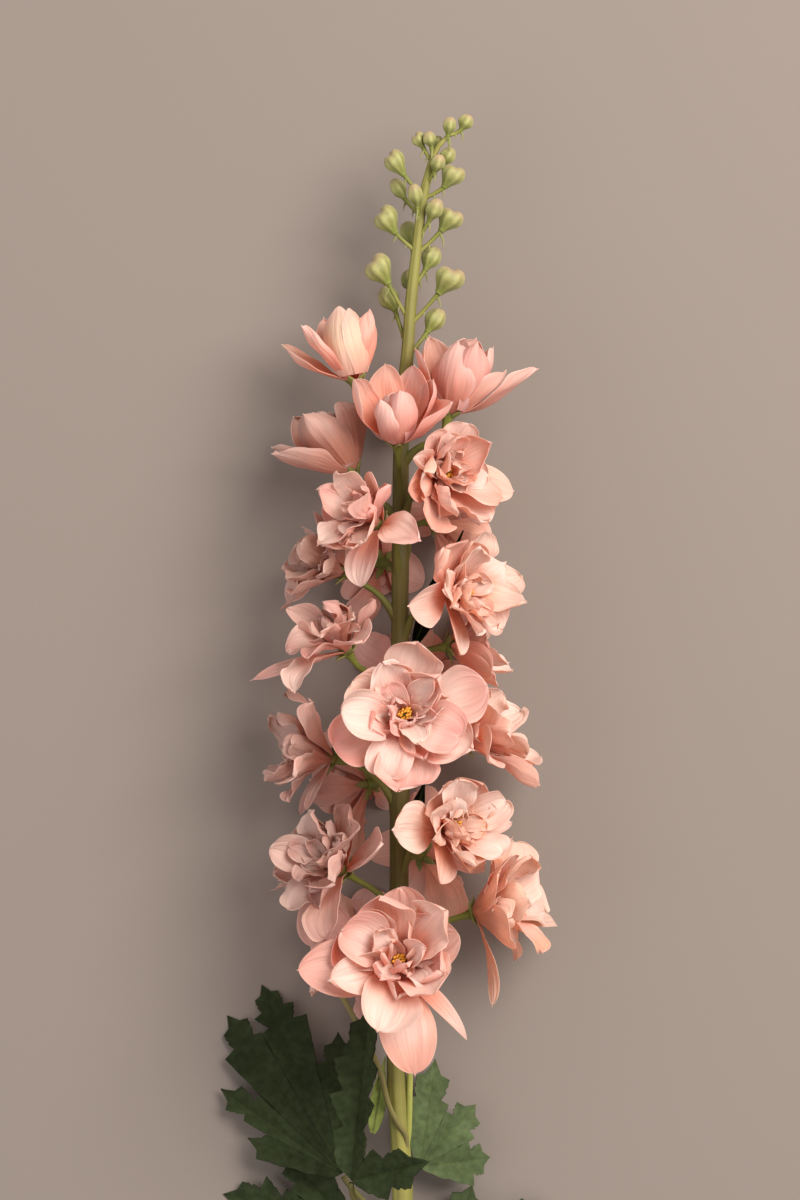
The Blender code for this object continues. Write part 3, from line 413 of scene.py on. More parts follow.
class Petal:
    """A petal's shape: a spoon-shaped blade that leans off its bloom's axis."""

    def __init__(self, ring, turn, length, width, lean_base, lean_tip, cup, sector, foot=0.0):
        self.ring = ring
        self.turn = math.radians(turn)
        self.sector = min(math.tan(math.radians(sector / 2)), WIDEST_SECTOR) * SECTOR_FILL
        self.length = length
        self.width = width
        self.lean_base = math.radians(lean_base)
        self.lean_tip = math.radians(lean_tip)
        self.cup = cup
        self.foot = foot
        self.start = HUB_RADII[ring]
        self.hanging = False
        self.twist = 0.0

    def outline(self, v):
        """Half the petal's width at a share v of its length, as in the solids."""
        claw, widest, tip_share = 0.20, 0.66, 0.68
        rising = claw + (1 - claw) * math.sin(math.pi / 2 * min(1.0, v / widest))
        falling = 1 - (1 - tip_share) * (max(0.0, v - widest) / (1 - widest)) ** 2
        return self.width / 2 * rising * falling

    def point(self, here, u, v):
        """A point of the solid's petal, to fit it in the same way."""
        tip_round = 0.15
        v_here = v * (1 - tip_round * u * u * v)
        lean_change = self.lean_tip - self.lean_base
        if abs(lean_change) < 0.02:
            lean_change = 0.02
        lean = self.lean_base + lean_change * v_here
        radial = self.start + self.length * (math.cos(self.lean_base) - math.cos(lean)) / lean_change
        axial = self.foot + self.length * (math.sin(lean) - math.sin(self.lean_base)) / lean_change
        cup = self.cup * min(1.0, 0.1 + 1.5 * v)
        spread = math.sin(cup) / cup + self.sector * (1 - math.cos(cup)) / cup * math.cos(lean)
        half = min(self.outline(v), max(0.3, radial - SECTOR_MARGIN) * self.sector / spread)
        across = half * math.sin(cup * u) / cup
        rise = half * (1 - math.cos(cup * u)) / cup
        return here.world(radial - rise * math.cos(lean), across, axial + rise * math.sin(lean), self.turn)

    def nest(self, outside):
        """Stay inside the petals of the ring outside this one."""
        step = math.radians(NEST_STEP)
        for other in outside:
            self.lean_base = min(self.lean_base, other.lean_base - step)
            self.lean_tip = min(self.lean_tip, other.lean_tip - step)
        self.lean_base = max(self.lean_base, math.radians(LEAST_LEAN[self.ring][0]))
        self.lean_tip = max(self.lean_tip, math.radians(LEAST_LEAN[self.ring][1]))

    def fit(self, here):
        """Fold and shorten the petal until it is clear of its neighbours."""
        allowed, steps = 1.2, 14
        tip_turn, base_turn, shorter, narrower = math.radians(6), math.radians(1.5), 0.95, 0.98
        for _ in range(steps):
            tests = [self.point(here, u, v) for u, v in ((0, 1), (-1, 0.7), (1, 0.7))]
            if max(here.overshoot(point) for point in tests) < allowed:
                break
            least_base, least_tip = (math.radians(lean) for lean in LEAST_LEAN[self.ring])
            self.lean_tip = max(self.lean_tip - tip_turn, least_tip)
            self.lean_base = max(self.lean_base - base_turn, least_base)
            self.length *= shorter
            self.width *= narrower

    def surface(self, here, look):
        """The petal's middle surface as a grid of points, with its u and v."""
        columns, rows = GRIDS[self.ring]
        u, s = np.meshgrid(np.linspace(-1, 1, columns), np.linspace(0, 1, rows))
        v = np.sin(math.pi / 2 * s)
        edge = np.abs(u)
        steps = np.linspace(0, 1, 81)
        lean_line = (self.lean_base + (self.lean_tip + look.lean - self.lean_base) * steps
                     + look.curl * smoothstep(0.55, 1.0, steps))
        travel = self.length * look.long * (steps[1] - steps[0])
        radial_line = self.start + running_sum(np.sin(lean_line)) * travel
        axial_line = self.foot + running_sum(np.cos(lean_line)) * travel
        shorter = (look.side_round * u * u + look.notch * np.exp(-(u / 0.2) ** 2)
                   + look.apex * (1 - np.exp(-(u / 0.25) ** 2))
                   + look.frill * (1 + np.cos(look.frills * math.pi * u + look.phase)))
        v_here = v * (1 - shorter * v ** 3)
        radial, axial, lean = (np.interp(v_here, steps, line)
                               for line in (radial_line, axial_line, lean_line))
        rising = look.claw + (1 - look.claw) * smoothstep(0.02, look.widest, v)
        past = np.clip((v - look.widest) / (1 - look.widest), 0, 1)
        closing = np.maximum((1 - past ** look.blunt) ** (1 / look.round), 0.04)
        outline = self.width / 2 * look.wide * here.row.slim * rising * closing
        room = np.maximum(0.5, radial - SECTOR_MARGIN / 2) * self.sector * OVERLAP
        half = (outline ** -4 + room ** -4) ** -0.25 * (1 + look.uneven * u * smoothstep(0.2, 0.7, v))
        cup = self.cup * look.cup * (0.45 + 0.75 * v)
        across = half * np.sin(cup * u) / cup
        rise = half * (1 - np.cos(cup * u)) / cup
        out = smoothstep(0.15, 0.7, v)
        wave = look.wave * self.width * edge ** 2.2 * out * (
            np.sin(look.waves * math.tau * v + look.phase + np.sign(u) * look.skew)
            + 0.4 * np.sin(2.7 * look.waves * math.tau * v + 3 * look.phase + u))
        crease = -look.crease * np.exp(-(u / 0.14) ** 2) * smoothstep(0.05, 0.3, v) * (1 - v ** 3)
        flutes = look.flute * np.cos(math.pi * look.flutes * u) * (1 - edge ** 3) * out * (1 - v ** 4)
        side_curl = look.side_curl * self.width * edge ** 3 * out
        folds = look.fold * np.sin(look.fold_turn * u + 4.1 * v + look.phase) * np.sin(
            5.3 * v + 2.2 * u + look.skew * 2) * out
        bowl = -look.bowl * self.length * (1 - edge ** 2) * np.exp(-((v - 0.74) / 0.2) ** 2)
        twist = math.radians(PINWHEEL) * smoothstep(0.0, 0.5, v) + look.twist * v
        rise = rise + wave + crease + flutes + side_curl + bowl + folds
        across, rise = (across * np.cos(twist) - rise * np.sin(twist),
                        across * np.sin(twist) + rise * np.cos(twist))
        across = across + look.sway * self.length * v * v
        points = here.world(radial - rise * np.cos(lean), across, axial + rise * np.sin(lean),
                            self.turn + look.turn)
        return here.keep_inside(points, PETAL_THICKNESS + RING_INSET * self.ring), u, v


class Look:
    """The small ways in which one petal differs from the next."""

    def __init__(self, draw, petal, hanging):
        loose = (1.0, 1.7, 2.6)[petal.ring]
        pointed = draw.random() < 0.2
        self.claw = draw.uniform(0.14, 0.24)
        self.widest = draw.uniform(0.60, 0.72)
        self.wide = draw.uniform(0.90, 1.18)
        self.long = draw.uniform(0.95, 1.15)
        self.blunt = draw.uniform(1.6, 1.8) if pointed else draw.uniform(2.0, 2.5)
        self.round = draw.uniform(1.4, 1.6) if pointed else draw.uniform(1.9, 2.2)
        self.notch = 0.0 if pointed else draw.choice((0.0, 0.0, 0.03, 0.05))
        self.side_round = draw.uniform(0.03, 0.06) if pointed else 0.0
        self.apex = draw.choice((0.0, 0.0, 0.02, 0.04))
        self.frill = draw.uniform(0.0, 0.022)
        self.frills = draw.uniform(2.0, 4.5)
        self.uneven = draw.uniform(-0.22, 0.22)
        self.cup = draw.uniform(0.8, 1.5)
        self.bowl = draw.uniform(0.0, 0.07)
        self.wave = draw.uniform(0.3, 1.0) * (0.10, 0.14, 0.18)[petal.ring]
        self.waves = draw.uniform(0.7, 1.6)
        self.phase = draw.uniform(0, math.tau)
        self.skew = draw.uniform(-1.5, 1.5)
        self.crease = draw.uniform(0.15, 0.9)
        self.flute = draw.uniform(0.08, 0.34)
        self.fold = draw.uniform(0.3, 1.0)
        self.fold_turn = draw.uniform(1.5, 4.0)
        self.flutes = draw.choice((3, 4, 5))
        self.curl = math.radians(draw.uniform(-50, 50))
        self.lean = math.radians(draw.uniform(-8, 12) * loose)
        self.turn = math.radians(draw.uniform(-8, 8) * loose)
        self.side_curl = draw.uniform(-0.05, 0.06)
        self.twist = math.radians(draw.uniform(-15, 15) * loose)
        self.sway = draw.uniform(-0.08, 0.08)
        self.blush = draw.uniform(-0.25, 0.3)
        self.flushed = draw.random() < 0.34
        self.throat = draw.uniform(0.65, 1.0)
        self.throat_end = draw.uniform(0.55, 0.85)
        self.pale = draw.uniform(0.55, 1.0)
        self.outside = 0.3
        self.tone = draw.choice(("cream", "cream", "pink", "peach") if petal.ring else
                                ("cream", "pink", "pink", "peach"))
        if hanging:
            self.crease, self.flute, self.flutes, self.cup, self.bowl = 0.5, 0.42, 4, 0.8, 0.0
            self.curl, self.blush, self.wave, self.twist, self.fold = 0.2, 0.35, 0.01, petal.twist, 0.1
            self.widest, self.blunt, self.round, self.claw = 0.52, 2.0, 1.7, 0.5
            self.lean, self.turn, self.long, self.wide = 0.0, 0.0, 1.0, 1.0
            self.frill, self.uneven, self.apex = 0.0, 0.0, 0.03


def bloom_petals(name, here):
    """All petals of a bloom, outer ring first, drawn in the same order as the solids' petals."""
    row = here.row
    draw = random.Random(name)
    length, opened = row.petal, row.open
    petals = []
    rings = (
        (6 if length > MANY_PETALED else 5, 1.00, 0.74, 50 + 8 * opened, 70 + 32 * opened, 0.50, 0.0),
        (5, 0.74, 0.58, 32 + 6 * opened, 50 + 20 * opened, 0.60, 1.5),
        (4, 0.46, 0.36, 22, 34 + 10 * opened, 0.60, 3.0),
    )
    ring_turn = 31
    long_ones = LONG_PETALS.get(name, ())
    first_turn = long_ones[0][0] if long_ones else draw.uniform(0, 60)
    for ring, (count, long, wide, lean_base, lean_tip, cup, foot) in enumerate(rings):
        for index in range(count):
            turn = first_turn + ring_turn * ring + 360 / count * (index + draw.uniform(-0.03, 0.03))
            size = draw.uniform(0.92, 1.06)
            petals.append(Petal(ring, turn, length * long * size, length * wide * draw.uniform(0.94, 1.06),
                                lean_base, lean_tip + draw.uniform(-8, 8), cup,
                                sector=360 / count, foot=foot))
    for turn, long, wide, lean_base, lean_tip in long_ones:
        nearest = min(petals[:rings[0][0]], key=lambda p: 1 - math.cos(p.turn - math.radians(turn)))
        nearest.length, nearest.width = long, wide
        nearest.lean_base, nearest.lean_tip = math.radians(lean_base), math.radians(lean_tip)
        nearest.hanging = True
    for petal in petals:
        petal.lean_base -= math.radians(CUPPED.get(name, 0) * 0.6)
        petal.lean_tip -= math.radians(CUPPED.get(name, 0))
    free = petals[:rings[0][0]]
    for turn, long, wide, lean_base, lean_tip, twist in RESHAPED.get(name, ()):
        nearest = min(free, key=lambda p: 1 - math.cos(p.turn - math.radians(turn)))
        free.remove(nearest)
        nearest.turn, nearest.length, nearest.width = math.radians(turn), long, wide
        nearest.twist = math.radians(twist)
        nearest.lean_base, nearest.lean_tip = math.radians(lean_base), math.radians(lean_tip)
        nearest.hanging = True
    beside = math.cos(math.radians(66))
    for petal in petals:
        outside = [other for other in petals if other.ring == petal.ring - 1
                   and math.cos(other.turn - petal.turn) > beside]
        petal.nest(outside)
        petal.fit(here)
    return petals


class Build:
    """Collects vertices, faces, colours and surface coordinates of one mesh."""

    def __init__(self):
        self.points, self.faces, self.tints, self.uvs = [], [], [], []
        self.count = 0

    def add(self, points, faces, tints, uvs):
        points = np.asarray(points, float).reshape(-1, 3)
        self.points.append(points)
        self.tints.append(np.broadcast_to(np.asarray(tints, float).reshape(-1, 3), points.shape))
        self.uvs.append(np.asarray(uvs, float).reshape(-1, 2))
        self.faces += [tuple(corner + self.count for corner in face) for face in faces]
        self.count += len(points)

    def sheet(self, grid, thickness, front, back, uv):
        """A closed thin blade from a grid of middle points. thickness is a number or a grid."""
        rows, columns = grid.shape[:2]
        along, across = np.gradient(grid, axis=0), np.gradient(grid, axis=1)
        normals = np.cross(across, along)
        normals /= np.maximum(np.linalg.norm(normals, axis=2, keepdims=True), 1e-9)
        offset = normals * (np.broadcast_to(thickness, (rows, columns)) / 2)[..., None]
        size = rows * columns
        number = np.arange(size).reshape(rows, columns)
        faces = []
        for r in range(rows - 1):
            for c in range(columns - 1):
                a, b, d, e = number[r, c], number[r, c + 1], number[r + 1, c + 1], number[r + 1, c]
                faces.append((a, b, d, e))
                faces.append((a + size, e + size, d + size, b + size))
        loop = (list(number[0, :]) + list(number[1:, -1]) + list(number[-1, -2::-1])
                + list(number[-2:0:-1, 0]))
        for here, there in zip(loop, loop[1:] + loop[:1]):
            faces.append((here, here + size, there + size, there))
        self.add(np.concatenate([(grid + offset).reshape(-1, 3), (grid - offset).reshape(-1, 3)]), faces,
                 np.concatenate([np.broadcast_to(c, grid.shape).reshape(-1, 3) for c in (front, back)]),
                 np.concatenate([uv.reshape(-1, 2)] * 2))

    def tube(self, points, radii, sides, tints, ridges=0, ridge_depth=0.0):
        """A closed round tube through points, with ridges along it if they are asked for."""
        points = [Vector(point) for point in points]
        turns = np.arange(sides) * math.tau / sides
        shape = 1 + ridge_depth * np.cos(ridges * turns)
        across, rings = None, []
        for index, (point, radius) in enumerate(zip(points, radii)):
            ahead = (points[min(index + 1, len(points) - 1)] - points[max(index - 1, 0)]).normalized()
            across = ahead.orthogonal() if across is None else across
            across = (across - ahead * across.dot(ahead)).normalized()
            other = ahead.cross(across)
            ring = (np.cos(turns)[:, None] * np.array(across) + np.sin(turns)[:, None] * np.array(other))
            rings.append(np.array(point) + ring * (radius * shape)[:, None])
        count = len(rings)
        faces = []
        for r in range(count - 1):
            for k in range(sides):
                after = (k + 1) % sides
                faces.append((r * sides + k, r * sides + after, (r + 1) * sides + after, (r + 1) * sides + k))
        faces.append(tuple(reversed(range(sides))))
        faces.append(tuple((count - 1) * sides + k for k in range(sides)))
        tints = np.repeat(np.broadcast_to(np.asarray(tints, float), (count, 3)), sides, axis=0)
        steps = np.linspace(0, 1, count)
        uvs = [(k / sides, step) for step in steps for k in range(sides)]
        self.add(np.concatenate(rings), faces, tints, uvs)

    def make(self, name, material, stands_for=(), crisp=False):
        """The mesh object, riding on the spike in place of the nodes that it stands for."""
        mesh = bpy.data.meshes.new(name)
        mesh.from_pydata((np.concatenate(self.points) * MM).tolist(), [], self.faces)
        tint = mesh.color_attributes.new("tint", "FLOAT_COLOR", "POINT")
        colours = np.concatenate([np.concatenate(self.tints), np.ones((self.count, 1))], axis=1)
        tint.data.foreach_set("color", np.clip(colours, 0, 1).astype(np.float32).ravel())
        layer = mesh.uv_layers.new(name="surface")
        corners = np.zeros(len(mesh.loops), np.int32)
        mesh.loops.foreach_get("vertex_index", corners)
        layer.data.foreach_set("uv", np.concatenate(self.uvs)[corners].astype(np.float32).ravel())
        mesh.shade_smooth()
        if crisp:
            mesh.set_sharp_from_angle(angle=math.radians(60))
        mesh.materials.append(material)
        mesh.validate()
        item = bpy.data.objects.new(name, mesh)
        bpy.context.scene.collection.objects.link(item)
        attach(item, "root")
        if stands_for:
            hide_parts(*stands_for)
        return item


def new_material(name, roughness, sheen=0.0, specular=0.4):
    """A material whose colour comes from the mesh's tint, with its shader and node tree."""
    made = bpy.data.materials.new(name)
    made.use_nodes = True
    nodes, links = made.node_tree.nodes, made.node_tree.links
    shader = nodes["Principled BSDF"]
    shader.inputs["Roughness"].default_value = roughness
    shader.inputs["Sheen Weight"].default_value = sheen
    shader.inputs["Specular IOR Level"].default_value = specular
    tint = nodes.new("ShaderNodeVertexColor")
    tint.layer_name = "tint"
    return made, nodes, links, shader, tint


def streaks(nodes, links, scale, stretch, detail=4.0):
    """Noise drawn out along the surface's length, as its value socket."""
    where = nodes.new("ShaderNodeUVMap")
    where.uv_map = "surface"
    mapping = nodes.new("ShaderNodeMapping")
    mapping.inputs["Scale"].default_value = (scale, scale / stretch, 1)
    pattern = nodes.new("ShaderNodeTexNoise")
    pattern.inputs["Scale"].default_value = 1.0
    pattern.inputs["Detail"].default_value = detail
    links.new(where.outputs[0], mapping.inputs["Vector"])
    links.new(mapping.outputs[0], pattern.inputs["Vector"])
    return pattern.outputs["Fac"]


def mottle(nodes, links, scale, detail=4.0):
    """Even noise over the object, as its value socket."""
    where = nodes.new("ShaderNodeTexCoord")
    pattern = nodes.new("ShaderNodeTexNoise")
    pattern.inputs["Scale"].default_value = scale
    pattern.inputs["Detail"].default_value = detail
    links.new(where.outputs["Object"], pattern.inputs["Vector"])
    return pattern.outputs["Fac"]


def spread(nodes, links, value, low, high):
    """The value stretched to a new range."""
    node = nodes.new("ShaderNodeMapRange")
    node.inputs["From Min"].default_value = 0.3
    node.inputs["From Max"].default_value = 0.7
    node.inputs["To Min"].default_value = low
    node.inputs["To Max"].default_value = high
    links.new(value, node.inputs["Value"])
    return node.outputs[0]


def scaled(nodes, links, colour, value):
    """A colour made lighter or darker by a value."""
    node = nodes.new("ShaderNodeVectorMath")
    node.operation = "SCALE"
    links.new(colour, node.inputs[0])
    links.new(value, node.inputs["Scale"])
    return node.outputs[0]


def bumped(nodes, links, value, strength, distance, shader):
    node = nodes.new("ShaderNodeBump")
    node.inputs["Strength"].default_value = strength
    node.inputs["Distance"].default_value = distance * MM
    links.new(value, node.inputs["Height"])
    links.new(node.outputs[0], shader.inputs["Normal"])
    return node


def petal_material():
    """Satin petal: fine streaks from claw to tip, and light that comes through the blade."""
    made, nodes, links, shader, tint = new_material("petal", 0.48, sheen=0.15)
    fine = streaks(nodes, links, 34, 16)
    shade = spread(nodes, links, fine, 0.87, 1.04)
    colour = scaled(nodes, links, tint.outputs[0], shade)
    soft = spread(nodes, links, mottle(nodes, links, 130), 0.96, 1.03)
    colour = scaled(nodes, links, colour, soft)
    links.new(colour, shader.inputs["Base Color"])
    folds = nodes.new("ShaderNodeMath")
    folds.operation = "MULTIPLY_ADD"
    folds.inputs[1].default_value = 0.3
    links.new(fine, folds.inputs[0])
    links.new(streaks(nodes, links, 11, 9, 1.0), folds.inputs[2])
    bumped(nodes, links, folds.outputs[0], 0.6, 0.9, shader)
    warmer = nodes.new("ShaderNodeVectorMath")
    warmer.operation = "MULTIPLY"
    warmer.inputs[1].default_value = (1.0, 0.80, 0.68)
    links.new(colour, warmer.inputs[0])
    through = nodes.new("ShaderNodeBsdfTranslucent")
    links.new(warmer.outputs[0], through.inputs["Color"])
    both = nodes.new("ShaderNodeMixShader")
    both.inputs[0].default_value = 0.5
    links.new(shader.outputs[0], both.inputs[1])
    links.new(through.outputs[0], both.inputs[2])
    links.new(both.outputs[0], nodes["Material Output"].inputs["Surface"])
    return made


def stem_material():
    made, nodes, links, shader, tint = new_material("stem", 0.5, specular=0.25)
    grain = streaks(nodes, links, 38, 30)
    patches = mottle(nodes, links, 90)
    colour = scaled(nodes, links, tint.outputs[0], spread(nodes, links, grain, 0.82, 1.12))
    colour = scaled(nodes, links, colour, spread(nodes, links, patches, 0.86, 1.12))
    links.new(colour, shader.inputs["Base Color"])
    bumped(nodes, links, grain, 0.4, 0.25, shader)
    return made


def bud_material():
    made, nodes, links, shader, tint = new_material("bud", 0.52, sheen=0.1, specular=0.3)
    grain = mottle(nodes, links, 700)
    colour = scaled(nodes, links, tint.outputs[0], spread(nodes, links, grain, 0.88, 1.1))
    links.new(colour, shader.inputs["Base Color"])
    bumped(nodes, links, grain, 0.3, 0.2, shader)
    return made


def leaf_material():
    made, nodes, links, shader, tint = new_material("leaf", 0.55, specular=0.02)
    grain = mottle(nodes, links, 420, 6)
    colour = scaled(nodes, links, tint.outputs[0], spread(nodes, links, grain, 0.75, 1.25))
    colour = scaled(nodes, links, colour, spread(nodes, links, mottle(nodes, links, 60), 0.8, 1.25))
    links.new(colour, shader.inputs["Base Color"])
    bumped(nodes, links, grain, 0.5, 0.3, shader)
    return made


def stamen_material():
    made, nodes, links, shader, tint = new_material("stamen", 0.7)
    grain = mottle(nodes, links, 1500)
    links.new(scaled(nodes, links, tint.outputs[0], spread(nodes, links, grain, 0.8, 1.15)),
              shader.inputs["Base Color"])
    bumped(nodes, links, grain, 0.5, 0.15, shader)
    return made


def petal_tints(here, petal, look, u, v):
    """Front and back colours of a petal: coral throat that is partly painted shade, pale tip, fine bright edge,
    pink back, and on the blooms of the shaded side painted shade as mauve and less pale cream.
    """
    # The negative part of the bloom's tint is painted shade; the positive part is peach that is partly painted
    # glow
    warm, painted_shade = max(here.row.warmth, 0), max(-here.row.warmth, 0)
    other, share = {"cream": (CREAM, 0.55), "pink": (PINK, 0.35), "peach": (PEACH, 0.5)}[look.tone]
    body = blend(blend(blend(BODY, other, share), PEACH, 0.15 * warm), PAINTED_SHADE_MAUVE, 0.75 * painted_shade)
    flush = blend(blend(PINK, PEACH, warm), PAINTED_SHADE_MAUVE, 0.85 * painted_shade)
    edge = np.abs(u) ** 3
    # Towards the petal's foot: its coral throat, partly painted warm shade
    throat_and_shade = 1 - smoothstep(0.0, look.throat_end, v + 0.10 * edge)
    # Blooms in painted shade keep less of their pale cream
    pale_kept_in_painted_shade = 1 - 0.7 * painted_shade
    front = blend(body, flush, np.clip(0.15 + look.blush - 0.2 * v + 0.2 * (1 - edge) * (1 - v), 0, 1))
    if look.flushed:
        centre = np.exp(-((v - 0.5) / 0.25) ** 2) * (1 - edge)
        front = blend(front, CREAM, np.clip((0.8 * centre + 0.2 * petal.ring) * pale_kept_in_painted_shade, 0, 0.9))
        front = blend(front, flush, 0.6 * smoothstep(0.5, 1.0, np.maximum(v, np.abs(u) * v)))
    else:
        pale = smoothstep(0.25, 0.85, v) * look.pale + 0.2 * petal.ring * smoothstep(0.2, 0.6, v)
        front = blend(front, CREAM, np.clip(pale * pale_kept_in_painted_shade, 0, 0.95))
    front = blend(front, THROAT_CORAL_AND_SHADE, np.clip(throat_and_shade * look.throat, 0, 1))
    rim = smoothstep(0.86, 1.0, np.maximum(np.abs(u), smoothstep(0.85, 1.0, v)))
    front = blend(front, CREAM, rim * 0.35)
    stripes = 0.5 + 0.5 * np.cos(math.pi * 5 * u)
    pinkness = np.clip(0.35 + look.blush + 0.3 * stripes * (1 - v) + 0.25 * edge, 0, 1)
    back = blend(blend(body, flush, pinkness), CREAM,
                 look.outside * pale_kept_in_painted_shade * smoothstep(0.2, 0.8, v))
    back = blend(back, THROAT_CORAL_AND_SHADE, throat_and_shade * 0.45)
    back = blend(back, CREAM, rim * 0.3)
    return front, back


def inner_petals(here, draw):
    """Small ruffled petals between and inside the solids' rings."""
    petals, length = [], here.row.petal
    for ring, count, long, wide, lean_base, lean_tip, cup, foot, first in INNER_RINGS:
        first = first + draw.uniform(-20, 20)
        for index in range(count):
            turn = first + 360 / count * (index + draw.uniform(-0.16, 0.16))
            size = draw.uniform(0.85, 1.12)
            petals.append(Petal(ring, turn, length * long * size, length * wide * draw.uniform(0.85, 1.15),
                                lean_base, lean_tip + draw.uniform(-14, 14), cup,
                                sector=360 / count, foot=foot))
            petals[-1].start *= 0.8
    return petals


def add_petal(build, here, petal, look, draw):
    grid, u, v = petal.surface(here, look)
    front, back = petal_tints(here, petal, look, u, v)
    thickness = PETAL_THICKNESS * (1.35 - 0.75 * v) * (1 - 0.45 * np.abs(u) ** 3)
    uv = np.stack([u * 0.5 + 0.5 + draw.random() * 9, v + draw.random() * 9], axis=-1)
    build.sheet(grid, thickness, front, back, uv)


def bloom_object(name, here, material):
    build = Build()
    draw = random.Random(name + " looks")
    if here.row.heart:
        add_heart(build, name, here, draw)
        return build.make(name + "_fine", material, [name], crisp=True)
    for petal in bloom_petals(name, here) + inner_petals(here, draw):
        add_petal(build, here, petal, Look(draw, petal, petal.hanging), draw)
    middle = [here.hub + here.axis * height for height in (0.0, 1.2, 2.6, 3.6, 4.2)]
    build.tube(middle, (1.9, 2.2, 1.9, 1.4, 0.5), 12, np.stack([CARPEL, CARPEL, THROAT_CORAL_AND_SHADE, THROAT_CORAL_AND_SHADE, CARPEL]))
    return build.make(name + "_fine", material, [name], crisp=True)


# Petals round each closed heart: turn, length, width, lean at the base and at the tip, cup
HEARTS = {
    "bloom_24": ((95, 0.82, 0.46, 66, 34, 0.6), (58, 0.80, 0.42, 50, 12, 0.8),
                 (285, 0.90, 0.52, 46, -10, 1.0), (200, 0.92, 0.50, 44, -6, 0.9),
                 (150, 0.92, 0.50, 46, 6, 0.8)),
    "bloom_23": ((78, 0.86, 0.50, 60, 24, 0.8), (22, 0.90, 0.92, 52, -36, 1.2),
                 (328, 0.86, 0.86, 50, -32, 1.2), (262, 1.04, 0.66, 64, 24, 0.7),
                 (292, 0.78, 0.42, 54, 14, 0.8), (120, 0.95, 0.60, 46, 2, 0.9),
                 (180, 0.98, 0.60, 44, -4, 0.9), (225, 0.95, 0.56, 46, 6, 0.9)),
    "bloom_21": ((-75, 1.00, 0.66, 58, 2, 1.0), (175, 0.76, 0.74, 46, -38, 1.2),
                 (100, 0.98, 0.70, 66, 34, 0.8), (20, 1.00, 0.62, 52, 16, 0.8),
                 (-28, 0.98, 0.58, 50, 8, 0.9), (62, 0.92, 0.56, 54, 24, 0.8),
                 (-132, 0.78, 0.56, 50, -20, 1.1)),
    "bloom_20": ((98, 0.94, 0.80, 50, -6, 1.1), (40, 0.96, 0.66, 48, 0, 1.0),
                 (138, 0.98, 0.72, 66, 32, 0.7), (166, 0.94, 0.58, 60, 16, 0.8),
                 (0, 0.94, 0.60, 50, 6, 0.9), (-60, 0.94, 0.60, 46, 4, 0.9),
                 (-120, 0.94, 0.60, 46, 6, 0.9)),
    "bloom_22": ((0, 0.96, 0.60, 52, 16, 0.9), (72, 0.96, 0.60, 50, 6, 0.9),
                 (144, 0.94, 0.56, 56, 32, 0.7), (216, 0.96, 0.60, 50, 2, 0.9),
                 (288, 0.96, 0.56, 54, 26, 0.7)),
}
# The egg's radius and length in each, beside the longest petal
EGGS = {"bloom_20": (0.24, 0.80), "bloom_21": (0.22, 0.62), "bloom_22": (0.24, 0.72),
        "bloom_23": (0.27, 0.82), "bloom_24": (0.26, 0.84)}


def add_heart(build, name, here, draw):
    """A half-open bloom: an egg of petals wrapped round one another, and petals flared off it."""
    long, wraps, rows, columns = here.row.petal, 5, 21, 15
    north, east, axis, hub = (np.array(w) for w in (here.north, here.east, here.axis, here.hub))
    first = draw.uniform(0, math.tau)
    warm = here.row.warmth
    for index in range(wraps):
        u, v = np.meshgrid(np.linspace(-1, 1, columns), np.sin(np.linspace(0.02, math.pi / 2, rows)))
        turn = first + index * math.tau * 2 / 5 + 0.08 * index
        angle = turn + u * (1.05 - 0.05 * index) * (0.7 + 0.3 * np.sin(math.pi / 2 * np.minimum(1, 1.6 * v)))
        top = v * (1.0 - 0.22 * np.abs(u) ** 2.2 * v - 0.025 * index)
        belly = np.sin(math.pi * (0.10 + 0.84 * top) ** 0.85) ** 0.7
        radius = long * EGGS[name][0] * belly * (1.0 - 0.03 * index) + 0.42 * (u + 1) + 0.05
        radius = radius + 0.35 * np.abs(u) ** 6 * smoothstep(0.4, 1, v)
        height = 1.5 + long * EGGS[name][1] * top
        grid = (hub + north * (radius * np.cos(angle))[..., None]
                + east * (radius * np.sin(angle))[..., None] + axis * height[..., None])
        # The heart with the lowest tint gets the mauve of painted shade
        body = HEART if warm > 0.2 else PINK * 0.6 + CREAM * 0.4 if warm > -0.9 else PAINTED_SHADE_MAUVE
        rim = smoothstep(0.84, 1.0, np.maximum(np.abs(u), v))
        front = blend(body, CREAM * 0.95, np.clip(0.15 + 0.35 * v, 0, 1))
        front = blend(front, PINK, 0.45 * (1 - smoothstep(0, 0.6, v)))
        front = blend(front, PINK * 0.9, 0.35 * np.exp(-((v - 0.95) / 0.12) ** 2))
        front = blend(front, CREAM, 0.4 * rim)
        uv = np.stack([u * 0.5 + 0.5 + draw.random() * 9, v + draw.random() * 9], axis=-1)
        build.sheet(here.keep_inside(grid, PETAL_THICKNESS), PETAL_THICKNESS, front, front, uv)
    for turn, length, width, lean_base, lean_tip, cup in HEARTS[name]:
        petal = Petal(0, turn, long * length, long * width, lean_base, lean_tip, cup, sector=100)
        look = Look(draw, petal, False)
        look.claw, look.widest, look.blunt, look.round = 0.30, 0.56, 1.9, 1.6
        look.lean, look.turn, look.notch, look.frill, look.apex = 0.0, 0.0, 0.0, 0.0, 0.03
        look.flushed, look.throat, look.throat_end, look.pale = False, 0.8, 1.05, 0.5
        look.outside = draw.uniform(0.25, 0.8)
        look.twist *= 0.4
        look.curl = math.radians(draw.uniform(-8, 16))
        look.wave *= 0.5
        look.blush += 0.3
        add_petal(build, here, petal, look, draw)


